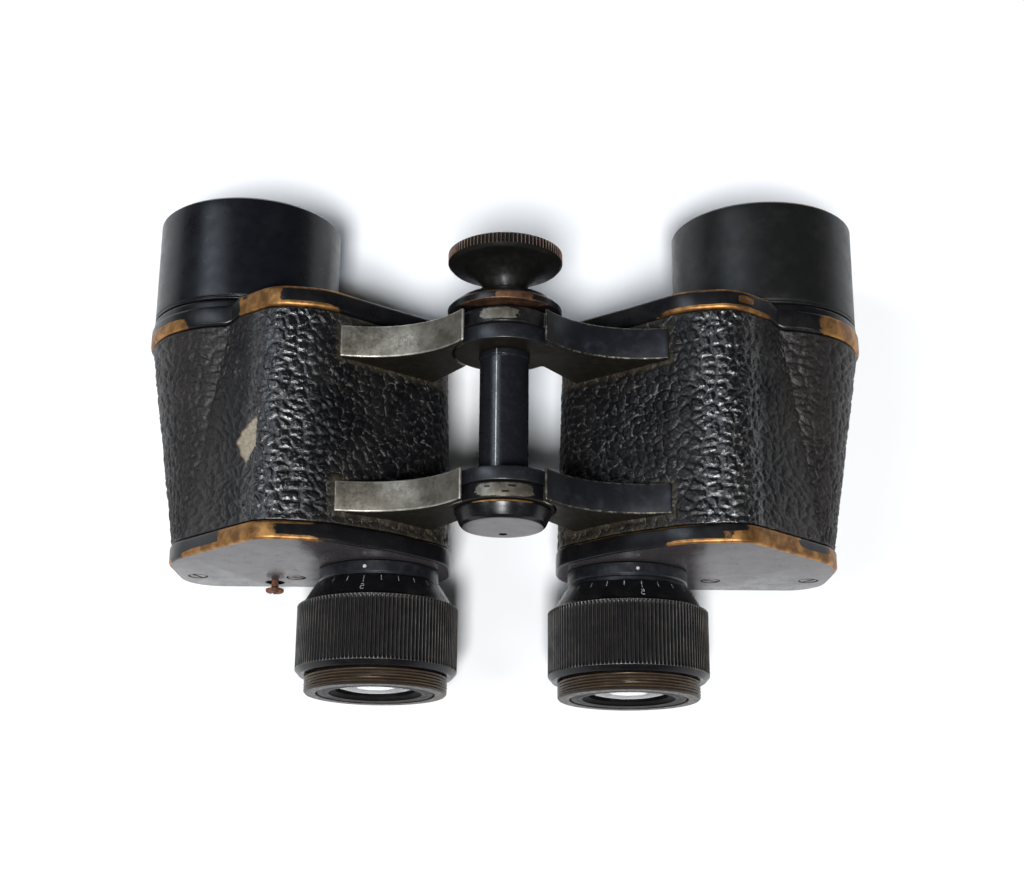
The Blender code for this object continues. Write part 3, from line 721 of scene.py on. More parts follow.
def leather_cover(name, side):
    """The leather of one housing, its grain raised in the mesh, as a closed skin."""
    bottom, top = housing(LEATHER_INSET + 0.08, AROUND, LEATHER_BRIDGE)
    share = np.linspace(0, 1, ALONG)[None, :]
    share = share * (1 - lobe_step(top[:, :1]) * LOBE_DROP / (BODY_HIGH - BODY_LOW))
    section = bottom[:, None, :] + (top - bottom)[:, None, :] * share[..., None]
    y = BODY_LOW + (BODY_HIGH - BODY_LOW) * share
    ring = (bottom + top) / 2
    walked = np.concatenate([[0], np.cumsum(np.linalg.norm(np.diff(ring, axis=0), axis=1))])
    s = np.tile(walked[:, None], (1, ALONG))
    bent_s = s + 0.6 * waves(s, y, 8.0, 3 + side) + 0.12 * waves(s, y, 2.0, 5 + side)
    bent_y = y + 0.6 * waves(s, y, 8.0, 4 + side) + 0.12 * waves(s, y, 2.0, 6 + side)
    coarse = pebbles(bent_s + 4, bent_y + 60, GRAIN, 11 + side)
    fine = pebbles(bent_s + 4, bent_y + 60, GRAIN * 0.40, 23 + side)
    relief = np.clip(0.78 * coarse + 0.32 * fine, 0, 1)
    lobe = smooth(section[..., 0], 60.0, 68.0)
    edge = smooth(np.minimum(y - BODY_LOW, y[:, -1:] - y), 0.0, 1.0)
    lift = (relief - 0.6) * GRAIN_HEIGHT * edge + 0.06 * waves(s, y, 14.0, 9)
    torn, cut = torn_places(side * section[..., 0], y, section[..., 1], s)
    if side < 0:
        lift = lift * (1 - torn) - 0.42 * torn + 0.10 * cut
    outward = outward_of(bottom, top, share)
    outer = section + outward * lift[..., None]
    inner = section[:, [-1, 0]] - outward[:, [-1, 0]] * LEATHER_THICK
    skin = np.concatenate([outer, inner], axis=1)
    along = np.concatenate([y, y[:, [-1, 0]]], axis=1)
    points = np.stack([side * skin[..., 0], along, skin[..., 1]], 2).reshape(-1, 3)
    faces = grid_faces(AROUND, ALONG + 2, True, True)
    rubbed = lobe * 0.7 + 0.3 * smooth(waves(s, y, 16.0, 41 + side), 0.2, 1.0)
    # dust, heaviest on the inner flat side, where its light net in the valleys is also a painted
    # highlight
    dust = smooth(waves(s, y, 15.0, 61 + side) + 1.3 * smooth(section[..., 0], 44, 34), 0.0, 1.3)
    polished = smooth(section[..., 0], 42, 47) * smooth(section[..., 0], 61, 56)
    values = {"relief": relief, "polished": polished, "torn": torn, "cut": cut, "dust": dust,
              "rubbed": np.clip(rubbed, 0, 1), "grime": leather_grime(section, y, s, side)}
    values = {key: np.concatenate([value, value[:, [-1, 0]]], axis=1)
              for key, value in values.items()}
    return new_piece(name, points, faces, values)


def torn_places(x, y, z, s):
    """How much of the leather is torn off, and a dark brown band along the tear and the slit: the
    cut edge, with painted shade along it.
    """
    ragged = 0.22 * waves(s, y, 3.0, 31)
    depth = np.where(z > 30, inside(x, y, list(TORN_PATCH)), -9) + ragged
    (x1, y1), (x2, y2) = CUT
    share = np.clip((y - y1) / (y2 - y1), 0, 1)
    beside = np.abs(x - (x1 + (x2 - x1) * share)) + np.where((y > y1) & (y < y2), 0, 9)
    beside = np.where(z > 30, beside, 9)
    cut = np.maximum(smooth(depth, -0.9, -0.1) * (1 - smooth(depth, -0.1, 0.2)),
                     smooth(beside + ragged * 0.5, 0.35, 0.1))
    return smooth(depth, -0.15, 0.15), cut


def outward_of(bottom, top, share):
    """Unit vectors out of the housing wall, at each point of a cover's grid."""
    ends = [loop - inset(loop, 1.0) for loop in (bottom, top)]
    mixed = ends[0][:, None, :] * (1 - share)[..., None] + ends[1][:, None, :] * share[..., None]
    return mixed / np.linalg.norm(mixed, axis=2, keepdims=True)


def leather_grime(section, y, s, side):
    """Dried polish and grime along the hinge arms and the plates."""
    x, z = section[..., 0], section[..., 1]
    near_arm = np.zeros_like(y)
    for bottom, top in LUGS.values():
        away = np.maximum(np.maximum(bottom - y, y - top), 0)
        near_arm = np.maximum(near_arm, np.exp(-(away / 1.1) ** 2))
    near_arm = near_arm * smooth(39.6 - x, 0, 1.5) * (z > 25)
    near_plate = np.exp(-((y - BODY_LOW) / 0.9) ** 2) + np.exp(-((y[:, -1:] - y) / 0.8) ** 2)
    near_plate = near_plate * smooth(46 - x, 0, 14) * 0.7
    patchy = 0.45 + 0.55 * smooth(waves(s, y, 5.0, 51 + side), -0.6, 0.8)
    return np.clip((near_arm * 0.9 + near_plate) * patchy, 0, 0.85)


# ---- housings, hinge arms and plates

def arm_outlines():
    """Outline of a hinge arm that ends at the other half's knuckle, and its own knuckle's."""
    front = bezier(ARM_CURVE, 30)
    drop, first = 7.8, -40.9        # of the arm's root: below the hinge axis, and in degrees
    last = math.degrees(math.acos(ARM_CURVE[0][0] / KNUCKLE_ROOM_R))
    room = knuckle_arc(KNUCKLE_ROOM_R, first, last, 26)
    arm = [(*front[0], 0.35), *((*p, 0) for p in front[1:-1]), (*front[-1], 0.5),
           *((*p, 0.4) for p in ARM_BACK),
           (math.sqrt(KNUCKLE_ROOM_R ** 2 - drop ** 2), HINGE_Z - drop, 0),
           *((*p, 0) for p in room[1:])]
    knuckle = [*knuckle_arc(KNUCKLE_R, 38, 318, 72), (12.5, 44.0), (13.5, 52.0), (11.0, 57.0)]
    return rounded(arm), np.array(knuckle)


def hinge_arms(name, side):
    """The two hinge arms of one half with their knuckles."""
    arm, knuckle = arm_outlines()
    made = []
    for lug, (bottom, top) in LUGS.items():
        piece = slab(f"{name}_{lug}", mirrored(arm, side), bottom, top, 0.4)
        own = KNUCKLES[name, lug]
        hub = slab(f"{name}_{lug}_hub", mirrored(knuckle, side), *own, 0.3,
                   holes=[circle(0, HINGE_Z, BORE_R, 32)])
        made.append(combined(piece, "UNION", hub))
    return joined(f"{name}_hinge_arms", *made)


def housing_shell(name, side):
    """The casting's wall and its prism shelf, under the leather."""
    count = 220
    outer, inner = (housing(depth, count) for depth in SHELL)
    rings = ((outer[0], BODY_LOW), (outer[1], LOBE_HIGH), (inner[1], LOBE_HIGH),
             (inner[0], BODY_LOW))
    points = np.concatenate([np.insert(mirrored(ring, side), 1, y, axis=1) for ring, y in rings])
    wall = new_piece(f"{name}_wall", points, grid_faces(4, count, True, True))
    share = (SHELF[0] - BODY_LOW) / (BODY_HIGH - BODY_LOW)
    ends = housing(sum(SHELL) / 2, count)
    middle = ends[0] + (ends[1] - ends[0]) * share
    eye, objective = np.array(EYE), np.array(OBJECTIVE)
    half = (objective - eye) / 2
    folded = eye + half + np.array((-half[1], half[0]))
    holes = [circle(side * x, z, LIGHT_HOLE_R, 40) for x, z in (eye, objective, folded)]
    shelf = slab(f"{name}_shelf", mirrored(middle, side), *SHELF, 0.1, holes=holes)
    return joined(f"{name}_housing_shell", wall, shelf)


def rod(radius, bottom, top, x, z, steps=64):
    return lathe("rod", [(0, top, 0), (radius, top, 0), (radius, bottom, 0), (0, bottom, 0)],
                 (x, z), steps, closed=False)

def lobe_step(x):
    """How far the objective plate and the casting sit back over the lobe, 0 to 1."""
    return smooth(np.abs(x), *STEP_REACH)


def stepped_down(thing):
    """Shear a slab so that it sits lower over the lobe, with a smooth slope between."""
    work = bmesh.new()
    work.from_mesh(thing.data)
    side = math.copysign(1, sum(corner.co.x for corner in work.verts))
    for x in np.linspace(*STEP_REACH, 8):
        bmesh.ops.bisect_plane(work, geom=[*work.verts, *work.edges, *work.faces], dist=1e-7,
                               plane_co=(side * x * MM, 0, 0), plane_no=(side, 0, 0))
    for corner in work.verts:
        corner.co.y -= LOBE_DROP * MM * lobe_step(corner.co.x / MM)
    work.to_mesh(thing.data)
    work.free()
    return thing


def screw_seats(places, side, face, inward):
    depth = sorted((face - inward, face + inward * 1.4))
    return [rod(SCREW_HEAD_R + 0.18, *depth, side * x, z, 32) for x, z in places]


def eyepiece_plate(name, side):
    outline = mirrored(housing(0, 330)[0], side)
    seats = list(EYEPIECE_PLATE_SCREWS)
    piece = slab(f"{name}_eyepiece_end_plate", outline, PLATE_LOW, PLATE_LOW_TOP, 0.7,
                 holes=[circle(side * EYE[0], EYE[1], 12.2, 64)], steps=4)
    if name == "left":
        x, z = axis("left_loose_plate_screw")
        seats.append((-x, z))
    return combined(piece, "DIFFERENCE", *screw_seats(seats, side, PLATE_LOW, 1))



def objective_plate(name, side):
    """The stepped plate: thick over the prisms, lower on the lobe, with a shoulder ring."""
    outline = mirrored(housing(0, 330)[1], side)
    x, z = side * OBJECTIVE[0], OBJECTIVE[1]
    piece = stepped_down(slab(f"{name}_objective_end_plate", outline, PRISM_PLATE_LOW,
                              PLATE_HIGH, 0.8, steps=4))
    combined(piece, "DIFFERENCE", rod(SEAT_R, LOBE_PLATE_LOW - 2, PLATE_HIGH + 2, x, z, 128),
             *screw_seats(OBJECTIVE_PLATE_SCREWS, side, PLATE_HIGH, -1))
    shoulder = lathe("shoulder", [(22.45, PLATE_HIGH - 0.02, 0.6), (22.45, PLATE_HIGH - 3, 0),
                                  (SEAT_R, PLATE_HIGH - 3, 0), (SEAT_R, PLATE_HIGH - 0.02, 0)],
                     (x, z), 128)
    return joined(f"{name}_objective_end_plate", piece, shoulder)


def slotted_screw(name, x, z, face, inward, turn):
    """A slotted screw with its head at face, which runs inward (+1 or -1 along Y)."""
    length, pitch = 9.0, 0.6
    profile = [(radius, face + inward * depth, corner) for radius, depth, corner in (
        (0, 0, 0), (SCREW_HEAD_R * 0.9, 0, 0.5), (SCREW_HEAD_R, 0.35, 0.2),
        (SCREW_HEAD_R, 0.9, 0.1), (0.95, 1.3, 0.2), (0.95, length, 0.1), (0, length, 0))]

    def shape(turns, radius, y):
        on_shank = (radius > 0.5) & (radius < 1.0)
        wave = np.abs(((y / pitch + turns / (2 * math.pi)) % 1) * 2 - 1)
        return np.where(on_shank, -0.16 * wave, 0), np.zeros_like(radius)
    screw = lathe(name, profile, (x, z), 40, closed=False, shape=shape, spacing=0.3)
    return combined(screw, "DIFFERENCE", slot(x, z, face, inward, turn))


def slot(x, z, top, inward, turn, scale=1.0):
    """A box that cuts the slot of a screw."""
    along = np.array((math.cos(turn), math.sin(turn)))
    across = np.array((-along[1], along[0]))
    points = []
    for y in (top - inward, top + inward * 0.6):
        for a, b in ((-3, -0.32), (3, -0.32), (3, 0.32), (-3, 0.32)):
            px, pz = np.array((x, z)) + (along * a + across * b) * scale
            points.append((px, y, pz))
    sides = [[k, (k + 1) % 4, (k + 1) % 4 + 4, k + 4] for k in range(4)]
    return new_piece("slot", points, [[0, 1, 2, 3], [4, 5, 6, 7], *sides])


# ---- turned pieces

def knurl(radius, bottom, top, teeth, depth, fade, power):
    """Straight knurls cut into the face at a radius, between two stations."""
    def shape(turns, r, y):
        on_face = np.abs(r - radius) < 0.02
        reach = np.clip(np.minimum(y - bottom, top - y) / fade, 0, 1)
        groove = np.abs(np.sin(turns * teeth / 2)) ** power * reach * on_face
        worn = 0.9 + 0.1 * np.sin(turns * 3 + 1)
        return -depth * groove * worn, np.where(on_face, 1 - groove, 0.35)
    return shape


def thread(radius, bottom, top, pitch, depth):
    def shape(turns, r, y):
        on_face = (np.abs(r - radius) < 0.02) & (y > bottom) & (y < top)
        wave = np.abs(((y / pitch + turns / (2 * math.pi)) % 1) * 2 - 1)
        return np.where(on_face, -depth * wave, 0), np.where(on_face, 1 - wave, 0.5)
    return shape


def on_eyepiece(name, label, steps, profile, **more):
    """A piece turned on an eyepiece's axis; y in its profile counts from the eyepiece's face."""
    profile = [(radius, FACE[name] + y, corner) for radius, y, corner in profile]
    return lathe(f"{name}_{label}", profile, (SIDES[name] * EYE[0], EYE[1]), steps, **more)


def on_objective(name, label, steps, profile, **more):
    centre = (SIDES[name] * OBJECTIVE[0], OBJECTIVE[1])
    return lathe(f"{name}_{label}", profile, centre, steps, **more)


def on_hinge(name, steps, profile, **more):
    return lathe(name, profile, (0, HINGE_Z), steps, **more)


def focus_ring(name):
    return on_eyepiece(name, "knurled_focus_ring", RING_TEETH * 6, [
        (14.9, 25.5, 0.25), (17.7, 20.9, 0.15), (RING_R, 20.3, 0.15), (RING_R, 5.3, 0.15),
        (17.9, 4.1, 0.4), (16.3, 4.1, 0.1), (16.3, 8.6, 0), (14.5, 8.6, 0), (14.5, 25.5, 0)],
        shape=knurl(RING_R, FACE[name] + 5.5, FACE[name] + 20.1, RING_TEETH, 0.42, 0.5, 0.5),
        spacing=0.5)


def eyecup_thread(name):
    return on_eyepiece(name, "eyecup_thread", 160, [
        (16.0, 8.2, 0), (16.0, 4.0, 0), (16.75, 3.8, 0.1), (16.75, 0.5, 0), (16.3, 0, 0.2),
        (13.9, 0, 0.12), (13.9, 8.2, 0)],
        shape=thread(16.75, FACE[name] + 0.45, FACE[name] + 3.85, 0.68, 0.3), spacing=0.12)


def ocular_barrel(name):
    """The lens barrel; its face slopes in to the glass like a shallow dish."""
    return on_eyepiece(name, "ocular_barrel", 112, [
        (12.6, 26, 0.2), (12.6, 8.5, 0), (13.6, 8.5, 0), (13.6, 0.2, 0.25), (12.2, 0.2, 0),
        (12.1, 0.32, 0), (12.0, 0.2, 0), (DISH_R, 0.2, 0.1), (DISH_R - 0.3, 0.6, 0.1),
        (9.3, 1.0, 0.05), (9.3, 1.5, 0), (11.3, 1.5, 0), (11.3, 26, 0)], spacing=1.5)


def eye_glass(name):
    bulge = [(9.1 * k / 10, 0.60 + 0.85 * (k / 10) ** 2, 0) for k in range(11)]
    return on_eyepiece(name, "eye_glass", 80, [
        *bulge, (9.1, 1.8, 0), (11.0, 1.8, 0.1), (11.0, 7.4, 0.2), (0, 7.4, 0)], closed=False)


def eyepiece_collar(name):
    """The threaded collar between the plate and the focusing ring."""
    top, bottom = high(f"{name}_eyepiece_socket"), low(f"{name}_eyepiece_socket")
    step = PLATE_LOW - 0.3
    return lathe(f"{name}_eyepiece_collar", [
        (11.9, top, 0), (11.9, step, 0), (14.2, step, 0.3), (14.2, step - 2.6, 0.1),
        (13.9, step - 3.0, 0.1), (14.2, step - 3.4, 0.1), (14.2, bottom, 0.2),
        (12.9, bottom, 0), (12.9, step - 1.0, 0), (10.5, step - 1.0, 0), (10.5, top, 0)],
        (SIDES[name] * EYE[0], EYE[1]), 96)


def index_dot(name):
    """A filled dot on the collar that the scale is read against."""
    side, radius, size = SIDES[name], 14.25, 0.42
    turn = math.radians(INDEX_TURN[name])
    points = []
    for across, up in circle(0, 0, size, 20):
        angle = turn + across / radius
        points.append((side * EYE[0] - radius * math.sin(angle), PLATE_LOW - 1.9 + up,
                       EYE[1] + radius * math.cos(angle)))
    return new_piece(f"{name}_index_dot", points, [list(range(20))])


def cone_point(name, turn, up):
    """A point on the scale cone: turn in radians from straight up, up in mm along the cone."""
    share = up / math.hypot(2.8, 4.6)
    radius = 17.7 - 2.8 * share + 0.03
    return (SIDES[name] * EYE[0] - radius * math.sin(turn), FACE[name] + 20.9 + 4.6 * share,
            EYE[1] + radius * math.cos(turn))


def stroke(name, line, width):
    """A thin strip along a line of (turn in mm, up in mm) points on the cone."""
    line = np.array(line, float)
    forward = np.gradient(line, axis=0)
    forward /= np.maximum(np.linalg.norm(forward, axis=1, keepdims=True), 1e-9)
    across = np.stack([-forward[:, 1], forward[:, 0]], 1) * width / 2
    points = [cone_point(name, turned / SCALE_R, up)
              for shift in (across, -across) for turned, up in line + shift]
    return points, grid_faces(2, len(line), False, False)


DIGITS = {
    "0": arc(0, 0.9, (0.5, 0.85), 0, 360, 20),
    "5": [(0.45, 1.75), (-0.35, 1.75), (-0.42, 1.0), *arc(0, 0.6, (0.5, 0.6), 140, -150, 12)],
}
SCALE_R = 16.5                      # mean radius of the scale cone
TICK_STEP = 14.8                    # degrees
ZERO_TURN = 8.1


def focus_scale(name):
    """White ticks and numbers of dioptres on the focusing ring's cone."""
    points, faces = [], []
    strokes = []
    for tick in range(-6, 7):
        place = math.radians(TICK_STEP * tick - SIDES[name] * ZERO_TURN) * SCALE_R
        strokes.append([(place, 5.1 - (2.2 if tick % 5 == 0 else 1.5)), (place, 5.0)])
        if tick % 5 == 0:
            strokes.append([(place + x * 0.8, 0.75 + up * 0.9)
                            for x, up in DIGITS["5" if tick == 0 else "0"]])
    for line in strokes:
        more, quads = stroke(name, line, 0.14)
        faces += [[len(points) + k for k in quad] for quad in quads]
        points += more
    return new_piece(f"{name}_focus_scale", points, faces)


def objective_barrel(name):
    base, top = TUBE_LOW, TUBE_HIGH
    return on_objective(name, "objective_barrel", 160, [
        (21.5, top, 0.25), (22.3, top - 0.7, 0.35), (22.3, base + 1.0, 0.2),
        (21.9, base + 0.7, 0.15), (22.3, base + 0.4, 0.15), (22.3, base, 0.2),
        (19.8, base, 0), (19.8, base - 4.5, 0.1), (18.2, base - 4.5, 0.1), (18.2, 40.0, 0),
        (20.6, 41.6, 0), (20.6, top - 1.2, 0), (20.9, top, 0.15)], spacing=2.5)


def lens_cell(name):
    return on_objective(name, "lens_cell", 96, [
        (20.3, 49.7, 0.1), (20.3, 42.3, 0.1), (14.6, 42.3, 0.1), (14.6, 43.3, 0.1),
        (16.0, 43.3, 0), (16.0, 49.7, 0.1)], spacing=1.5)


def objective_glass(name):
    quarter = np.radians(np.linspace(0, 90, 10))
    front = [(15.7 * math.sin(t), 47.3 + 2.1 * math.cos(t), 0) for t in quarter]
    back = [(15.7 * math.sin(t), 44.4 - 0.8 * math.cos(t), 0) for t in quarter[::-1]]
    return on_objective(name, "objective_glass", 96, front + back, closed=False)


def slotted_lens_ring(name):
    ring = on_objective(name, "slotted_lens_ring", 128, [
        (20.3, 52.0, 0.15), (20.3, 50.0, 0), (15.0, 50.0, 0.1), (16.2, 52.0, 0.15)], spacing=1.0)
    for turn in (0.4, 0.4 + math.pi):
        x, z = (SIDES[name] * OBJECTIVE[0] + 17.8 * math.cos(turn),
                OBJECTIVE[1] + 17.8 * math.sin(turn))
        combined(ring, "DIFFERENCE", slot(x, z, 52.0, -1, turn))
    return ring


def hinge_tube():
    return on_hinge("hinge_tube", 96, [
        (5.85, SLEEVE_HIGH, 0.15), (5.85, SLEEVE_HIGH - 1.3, 0.1), (5.6, SLEEVE_HIGH - 1.6, 0.1),
        (5.6, SLEEVE_LOW + 1.0, 0.1), (5.85, SLEEVE_LOW + 0.7, 0.1), (5.85, SLEEVE_LOW, 0.15),
        (BORE_R, SLEEVE_LOW, 0), (BORE_R, SLEEVE_HIGH, 0)], spacing=2.0)


def hinge_end_cap():
    """The flat cap on the eyepiece end of the hinge, and the plug in its small hole."""
    cap = on_hinge("hinge_end_cap", 112, [
        (0, -23.2, 0), (BORE_R, -23.2, 0), (BORE_R, -21.4, 0), (10.9, -21.4, 0.12),
        (10.9, -21.9, 0.25), (9.7, -24.5, 0.3), (9.1, -25.1, 0.3), (0, -25.1, 0)],
        closed=False, spacing=1.2)
    x, z = axis("hinge_cap_pin")
    combined(cap, "DIFFERENCE", rod(1.0, -26, -23.6, x, z, 28))
    plug = lathe("hinge_cap_plug", [(0, -23.5, 0), (0.85, -23.5, 0), (0.85, -24.75, 0.25),
                                    (0, -24.75, 0)], (x, z), 24, closed=False)
    return cap, combined(plug, "DIFFERENCE", slot(x, z, -24.75, 1, 0.2))


def clamp_dome():
    bottom = low("dome_washer")
    return on_hinge("domed_clamp_washer", 128, [
        (4.6, 30.7, 0.2), (6.4, 30.3, 2.0), (8.8, 29.4, 3.0), (11.0, 28.2, 3.0),
        (12.5, 27.0, 1.5), (12.9, 26.45, 0.1), (13.2, 26.3, 0.15), (13.2, bottom, 0.15),
        (BORE_R, bottom, 0), (BORE_R, 30.7, 0)], spacing=1.0)


def clamp_knob():
    return on_hinge("knurled_clamp_knob", KNOB_TEETH * 8, [
        (12.4, 41.0, 0.3), (13.3, 40.4, 0.2), (13.3, 38.2, 0.2), (12.6, 37.4, 0.5),
        (9.6, 36.6, 2.5), (7.2, 35.1, 4.0), (5.6, 33.4, 4.0), (4.6, 31.0, 0.2),
        (BORE_R, 31.0, 0), (BORE_R, 37.8, 0), (4.8, 37.8, 0.1), (4.8, 41.0, 0.2)],
        shape=knurl(13.3, 38.1, 40.5, KNOB_TEETH, 0.5, 0.25, 0.6), spacing=0.6)


def clamp_end_screw():
    top = high("axle_end_screw")
    screw = on_hinge("clamp_end_screw", 64, [
        (0, top, 0), (4.0, top, 0.5), (4.4, top - 0.5, 0.2), (4.4, top - 1.4, 0.1),
        (1.2, top - 1.4, 0), (1.2, top - 9.2, 0.1), (0, top - 9.2, 0)], closed=False, spacing=1.0)
    return combined(screw, "DIFFERENCE", slot(0, HINGE_Z, top, -1, 0.9, 1.7))


# ---- assembly

# rounded boxes where the end plates are worn to brass, and where their enamel is kept
PLATE_WEAR = {
    "left_eyepiece": (
        [((-57.5, -26, 50), (8.5, 4, 9)), ((-51, -28.3, 52), (12, 1.2, 9)),
         ((-51, -24.2, 53), (10, 0.8, 9)), ((-68, -28.0, 42), (9, 1.2, 9)),
         ((-79, -27, 20), (4, 3, 12))],
        [((-73, -24.6, 38), (9, 1.6, 7))]),
    "left_objective": (
        [((-57, 30, 52), (6.5, 6, 9)), ((-46, 31.7, 52), (14, 0.7, 9)),
         ((-47, 27.2, 52), (10, 1.1, 9)), ((-81, 26.0, 36), (8, 2.4, 10))],
        [((-60.8, 30.9, 50), (0.7, 0.6, 6))]),
    "right_eyepiece": (
        [((68, -26, 40), (23, 6, 24)), ((44, -28.2, 54), (9, 0.9, 8)),
         ((30, -24.0, 44), (18, 0.6, 14))],
        [((72, -25.0, 38), (5.5, 1.6, 6)), ((50, -24.8, 54), (5, 1.1, 4))]),
    "right_objective": (
        [((52, 31.7, 54), (16, 0.7, 9)), ((50, 27.2, 54), (17, 1.0, 9)),
         ((56.5, 29.6, 55), (3.0, 1.1, 5)), ((81, 27.4, 36), (8, 3.4, 12))],
        [((70, 28.8, 44), (4, 2, 6))]),
}


def plate_looks(plate, sides, edges):
    """Materials of a plate's sides, edges and ends; sides and edges are (wear, patch, ragged)."""
    places, kept = PLATE_WEAR[plate]
    looks = []
    for part, (wear, patch, ragged) in (("sides", sides), ("edges", edges)):
        looks.append(worn_enamel(f"{plate}_plate_{part}", BRASS, wear, places, patch, ragged,
                                 kept=kept))
    if plate.endswith("eyepiece"):
        # the eyepiece plates' ends get the enamel with the painted reflection of the floor
        return [*looks, FACE_WITH_PAINTED_REFLECTION]
    return [*looks, worn_enamel(f"{plate}_plate_face", BRASS, 0.0, (), 2.2, 0.34)]


def arm_looks(name):
    """Materials of an arm's top, its edges, the knuckles and the flanks."""
    flank = worn_enamel(f"{name}_arm_flanks", ALLOY, -0.08, (), 1.2, 0.40,
                        (0.009, 0.0075, 0.0055), 0.5, 0.7, specular=0.12,
                        dust_and_sheen_look=(2.0, 0.030, 0.023, 0.015))
    if name == "left":
        patches = [((-1.2, 21.7, 63.4), (5.2, 1.5, 2.5)), ((0.6, -19.3, 63.2), (7.9, 1.7, 3))]
        gone = [((3.9, 22.0, 63.4), (0.9, 0.5, 1)), ((2.9, 21.2, 63.4), (0.5, 0.4, 1)),
                ((2.0, -18.5, 63.4), (1.1, 0.3, 1)), ((0.5, -19.8, 63.4), (1.0, 0.25, 1)),
                ((-3.6, -18.6, 63.4), (0.8, 0.3, 1))]
        return [bare_alloy("left_arm_alloy"),
                bare_alloy("left_arm_edges", ((0.50, 0.48, 0.44), (0.22, 0.20, 0.17))),
                worn_enamel("left_knuckle", ALLOY, 0.02, patches, 0.9, 0.42, kept=gone, dust_and_sheen_share=0.6),
                flank]
    # the right arms and knuckles: bluish enamel under blue mottling, a painted blue sheen on top of
    # their gloss
    sheen = {"enamel": PAINTED_SHEEN_ENAMEL, "gloss": 0.30, "specular": 0.5,
             "dust_and_sheen_look": (3.0, 0.030, 0.034, 0.048)}
    return [worn_enamel("right_arm_enamel", BRIGHT, 0.0, (), 0.6, 0.42, dust_and_sheen_share=0.6, **sheen),
            worn_enamel("right_arm_edges", ALLOY, 0.44, (), 1.2, 0.20),
            worn_enamel("right_knuckle", BRIGHT, 0.05, (), 0.45, 0.5, dust_and_sheen_share=0.4, **sheen),
            flank]


def dress_half(name):
    side = SIDES[name]

    def add(thing, slot, looks, node=None, body="half", **more):
        """Dress a piece of this half; node and body are named without the side."""
        dress(thing, f"{name}_{body}", slot, looks, node and f"{name}_{node}", **more)

    casting = "bare_alloy" if name == "left" else "black_enamel_alloy"
    add(leather_cover(f"{name}_leather_grain", side), "black_leather",
        leather(f"{name}_leather", name == "left"), "leather_cover", sharp=180)
    add(hinge_arms(name, side), casting, arm_looks(name), "body_casting", classes=arm_classes)
    add(housing_shell(name, side), casting, CAST, "body_casting")
    add(eyepiece_plate(name, side), "worn_black_brass",
        plate_looks(f"{name}_eyepiece", (-0.02, 2.0, 0.36), (0.12, 2.6, 0.40)),
        "eyepiece_plate", classes=edge_classes)
    add(objective_plate(name, side), "worn_black_brass",
        plate_looks(f"{name}_objective", (-0.05, 2.2, 0.34), (0.08, 2.6, 0.40)),
        "objective_plate", classes=edge_classes)
    add(objective_barrel(name), "black_enamel", TUBE[name], "objective_tube")
    add(lens_cell(name), "dark_bronze", DARK_BRASS, "objective_cell")
    add(objective_glass(name), "optical_glass", GLASS, "objective_lens")
    add(slotted_lens_ring(name), "dark_bronze", DARK_BRASS, "objective_retaining_ring")
    add(eyepiece_collar(name), "black_enamel", COLLAR, "eyepiece_socket")
    add(index_dot(name), None, ENGRAVED)
    for place, holes, face, inward in (("eyepiece", EYEPIECE_PLATE_SCREWS, PLATE_LOW, 1),
                                       ("objective", OBJECTIVE_PLATE_SCREWS, PLATE_HIGH, -1)):
        for number, (x, z) in enumerate(holes, 1):
            turn = random.random() * math.pi
            add(slotted_screw(f"{name}_{place}_slotted_screw_{number}", side * x, z, face,
                              inward, turn), "screw_steel", STEEL, f"{place}_plate_screw_{number}")
    add(focus_ring(name), "dark_bronze", [KNURLED, RING_ENAMEL], "focus_ring", "focus_ring",
        classes=ring_classes)
    add(focus_scale(name), None, ENGRAVED, body="focus_ring")
    add(eyecup_thread(name), "bare_brass", THREAD, "eyecup_thread_ring", "focus_ring")
    add(ocular_barrel(name), "black_enamel", [OCULAR, DISH], "lens_barrel", "ocular",
        classes=barrel_classes)
    add(eye_glass(name), "optical_glass", GLASS, "eye_lens", "ocular")


def dress_hinge():
    # the hinge sleeve: the thin streak of bright metal along its top is a painted highlight, and
    # its bluish enamel under blue mottling a painted blue sheen
    tube = worn_enamel("hinge_tube_painted_highlight", BRIGHT, -0.05, [((-1.75, 0, 57.5), (0.14, 30, 1.2))],
                       0.6, 0.42, PAINTED_SHEEN_ENAMEL, 0.22, 0.3, specular=0.4,
                       dust_and_sheen_look=(1.2, 0.024, 0.028, 0.040))
    cap_side = worn_enamel("hinge_cap_enamel", BRASS, -0.1, [((0.0, -21.5, 62.4), (9, 0.4, 3))],
                           0.8, 0.36, gloss=0.2, specular=0.3)
    dome = worn_enamel("dome_enamel", ((0.30, 0.155, 0.085), (0.11, 0.062, 0.04)), -0.02,
                       [((2.2, 25.5, 64.5), (5.0, 1.1, 3)), ((0, 24.6, 64), (14, 0.4, 5)),
                        ((0, 26.5, 64), (13, 0.35, 5))], 1.0, 0.34)
    dress(hinge_tube(), "right_half", "black_enamel", tube, "hinge_sleeve")
    cap, plug = hinge_end_cap()
    # the cap's flat end gets the same painted reflection of the floor
    dress(cap, "right_half", "black_enamel", [cap_side, cap_side, FACE_WITH_PAINTED_REFLECTION], "hinge_cap",
          edge_classes)
    dress(plug, "right_half", "dark_bronze", DARK_BRASS, "hinge_cap_pin")
    dress(clamp_dome(), "right_half", "black_enamel", dome, "dome_washer")
    dress(clamp_knob(), "clamp_knob", "dark_bronze", KNOB, "clamp_knob")
    dress(clamp_end_screw(), "right_half", "screw_steel", STEEL, "axle_end_screw")


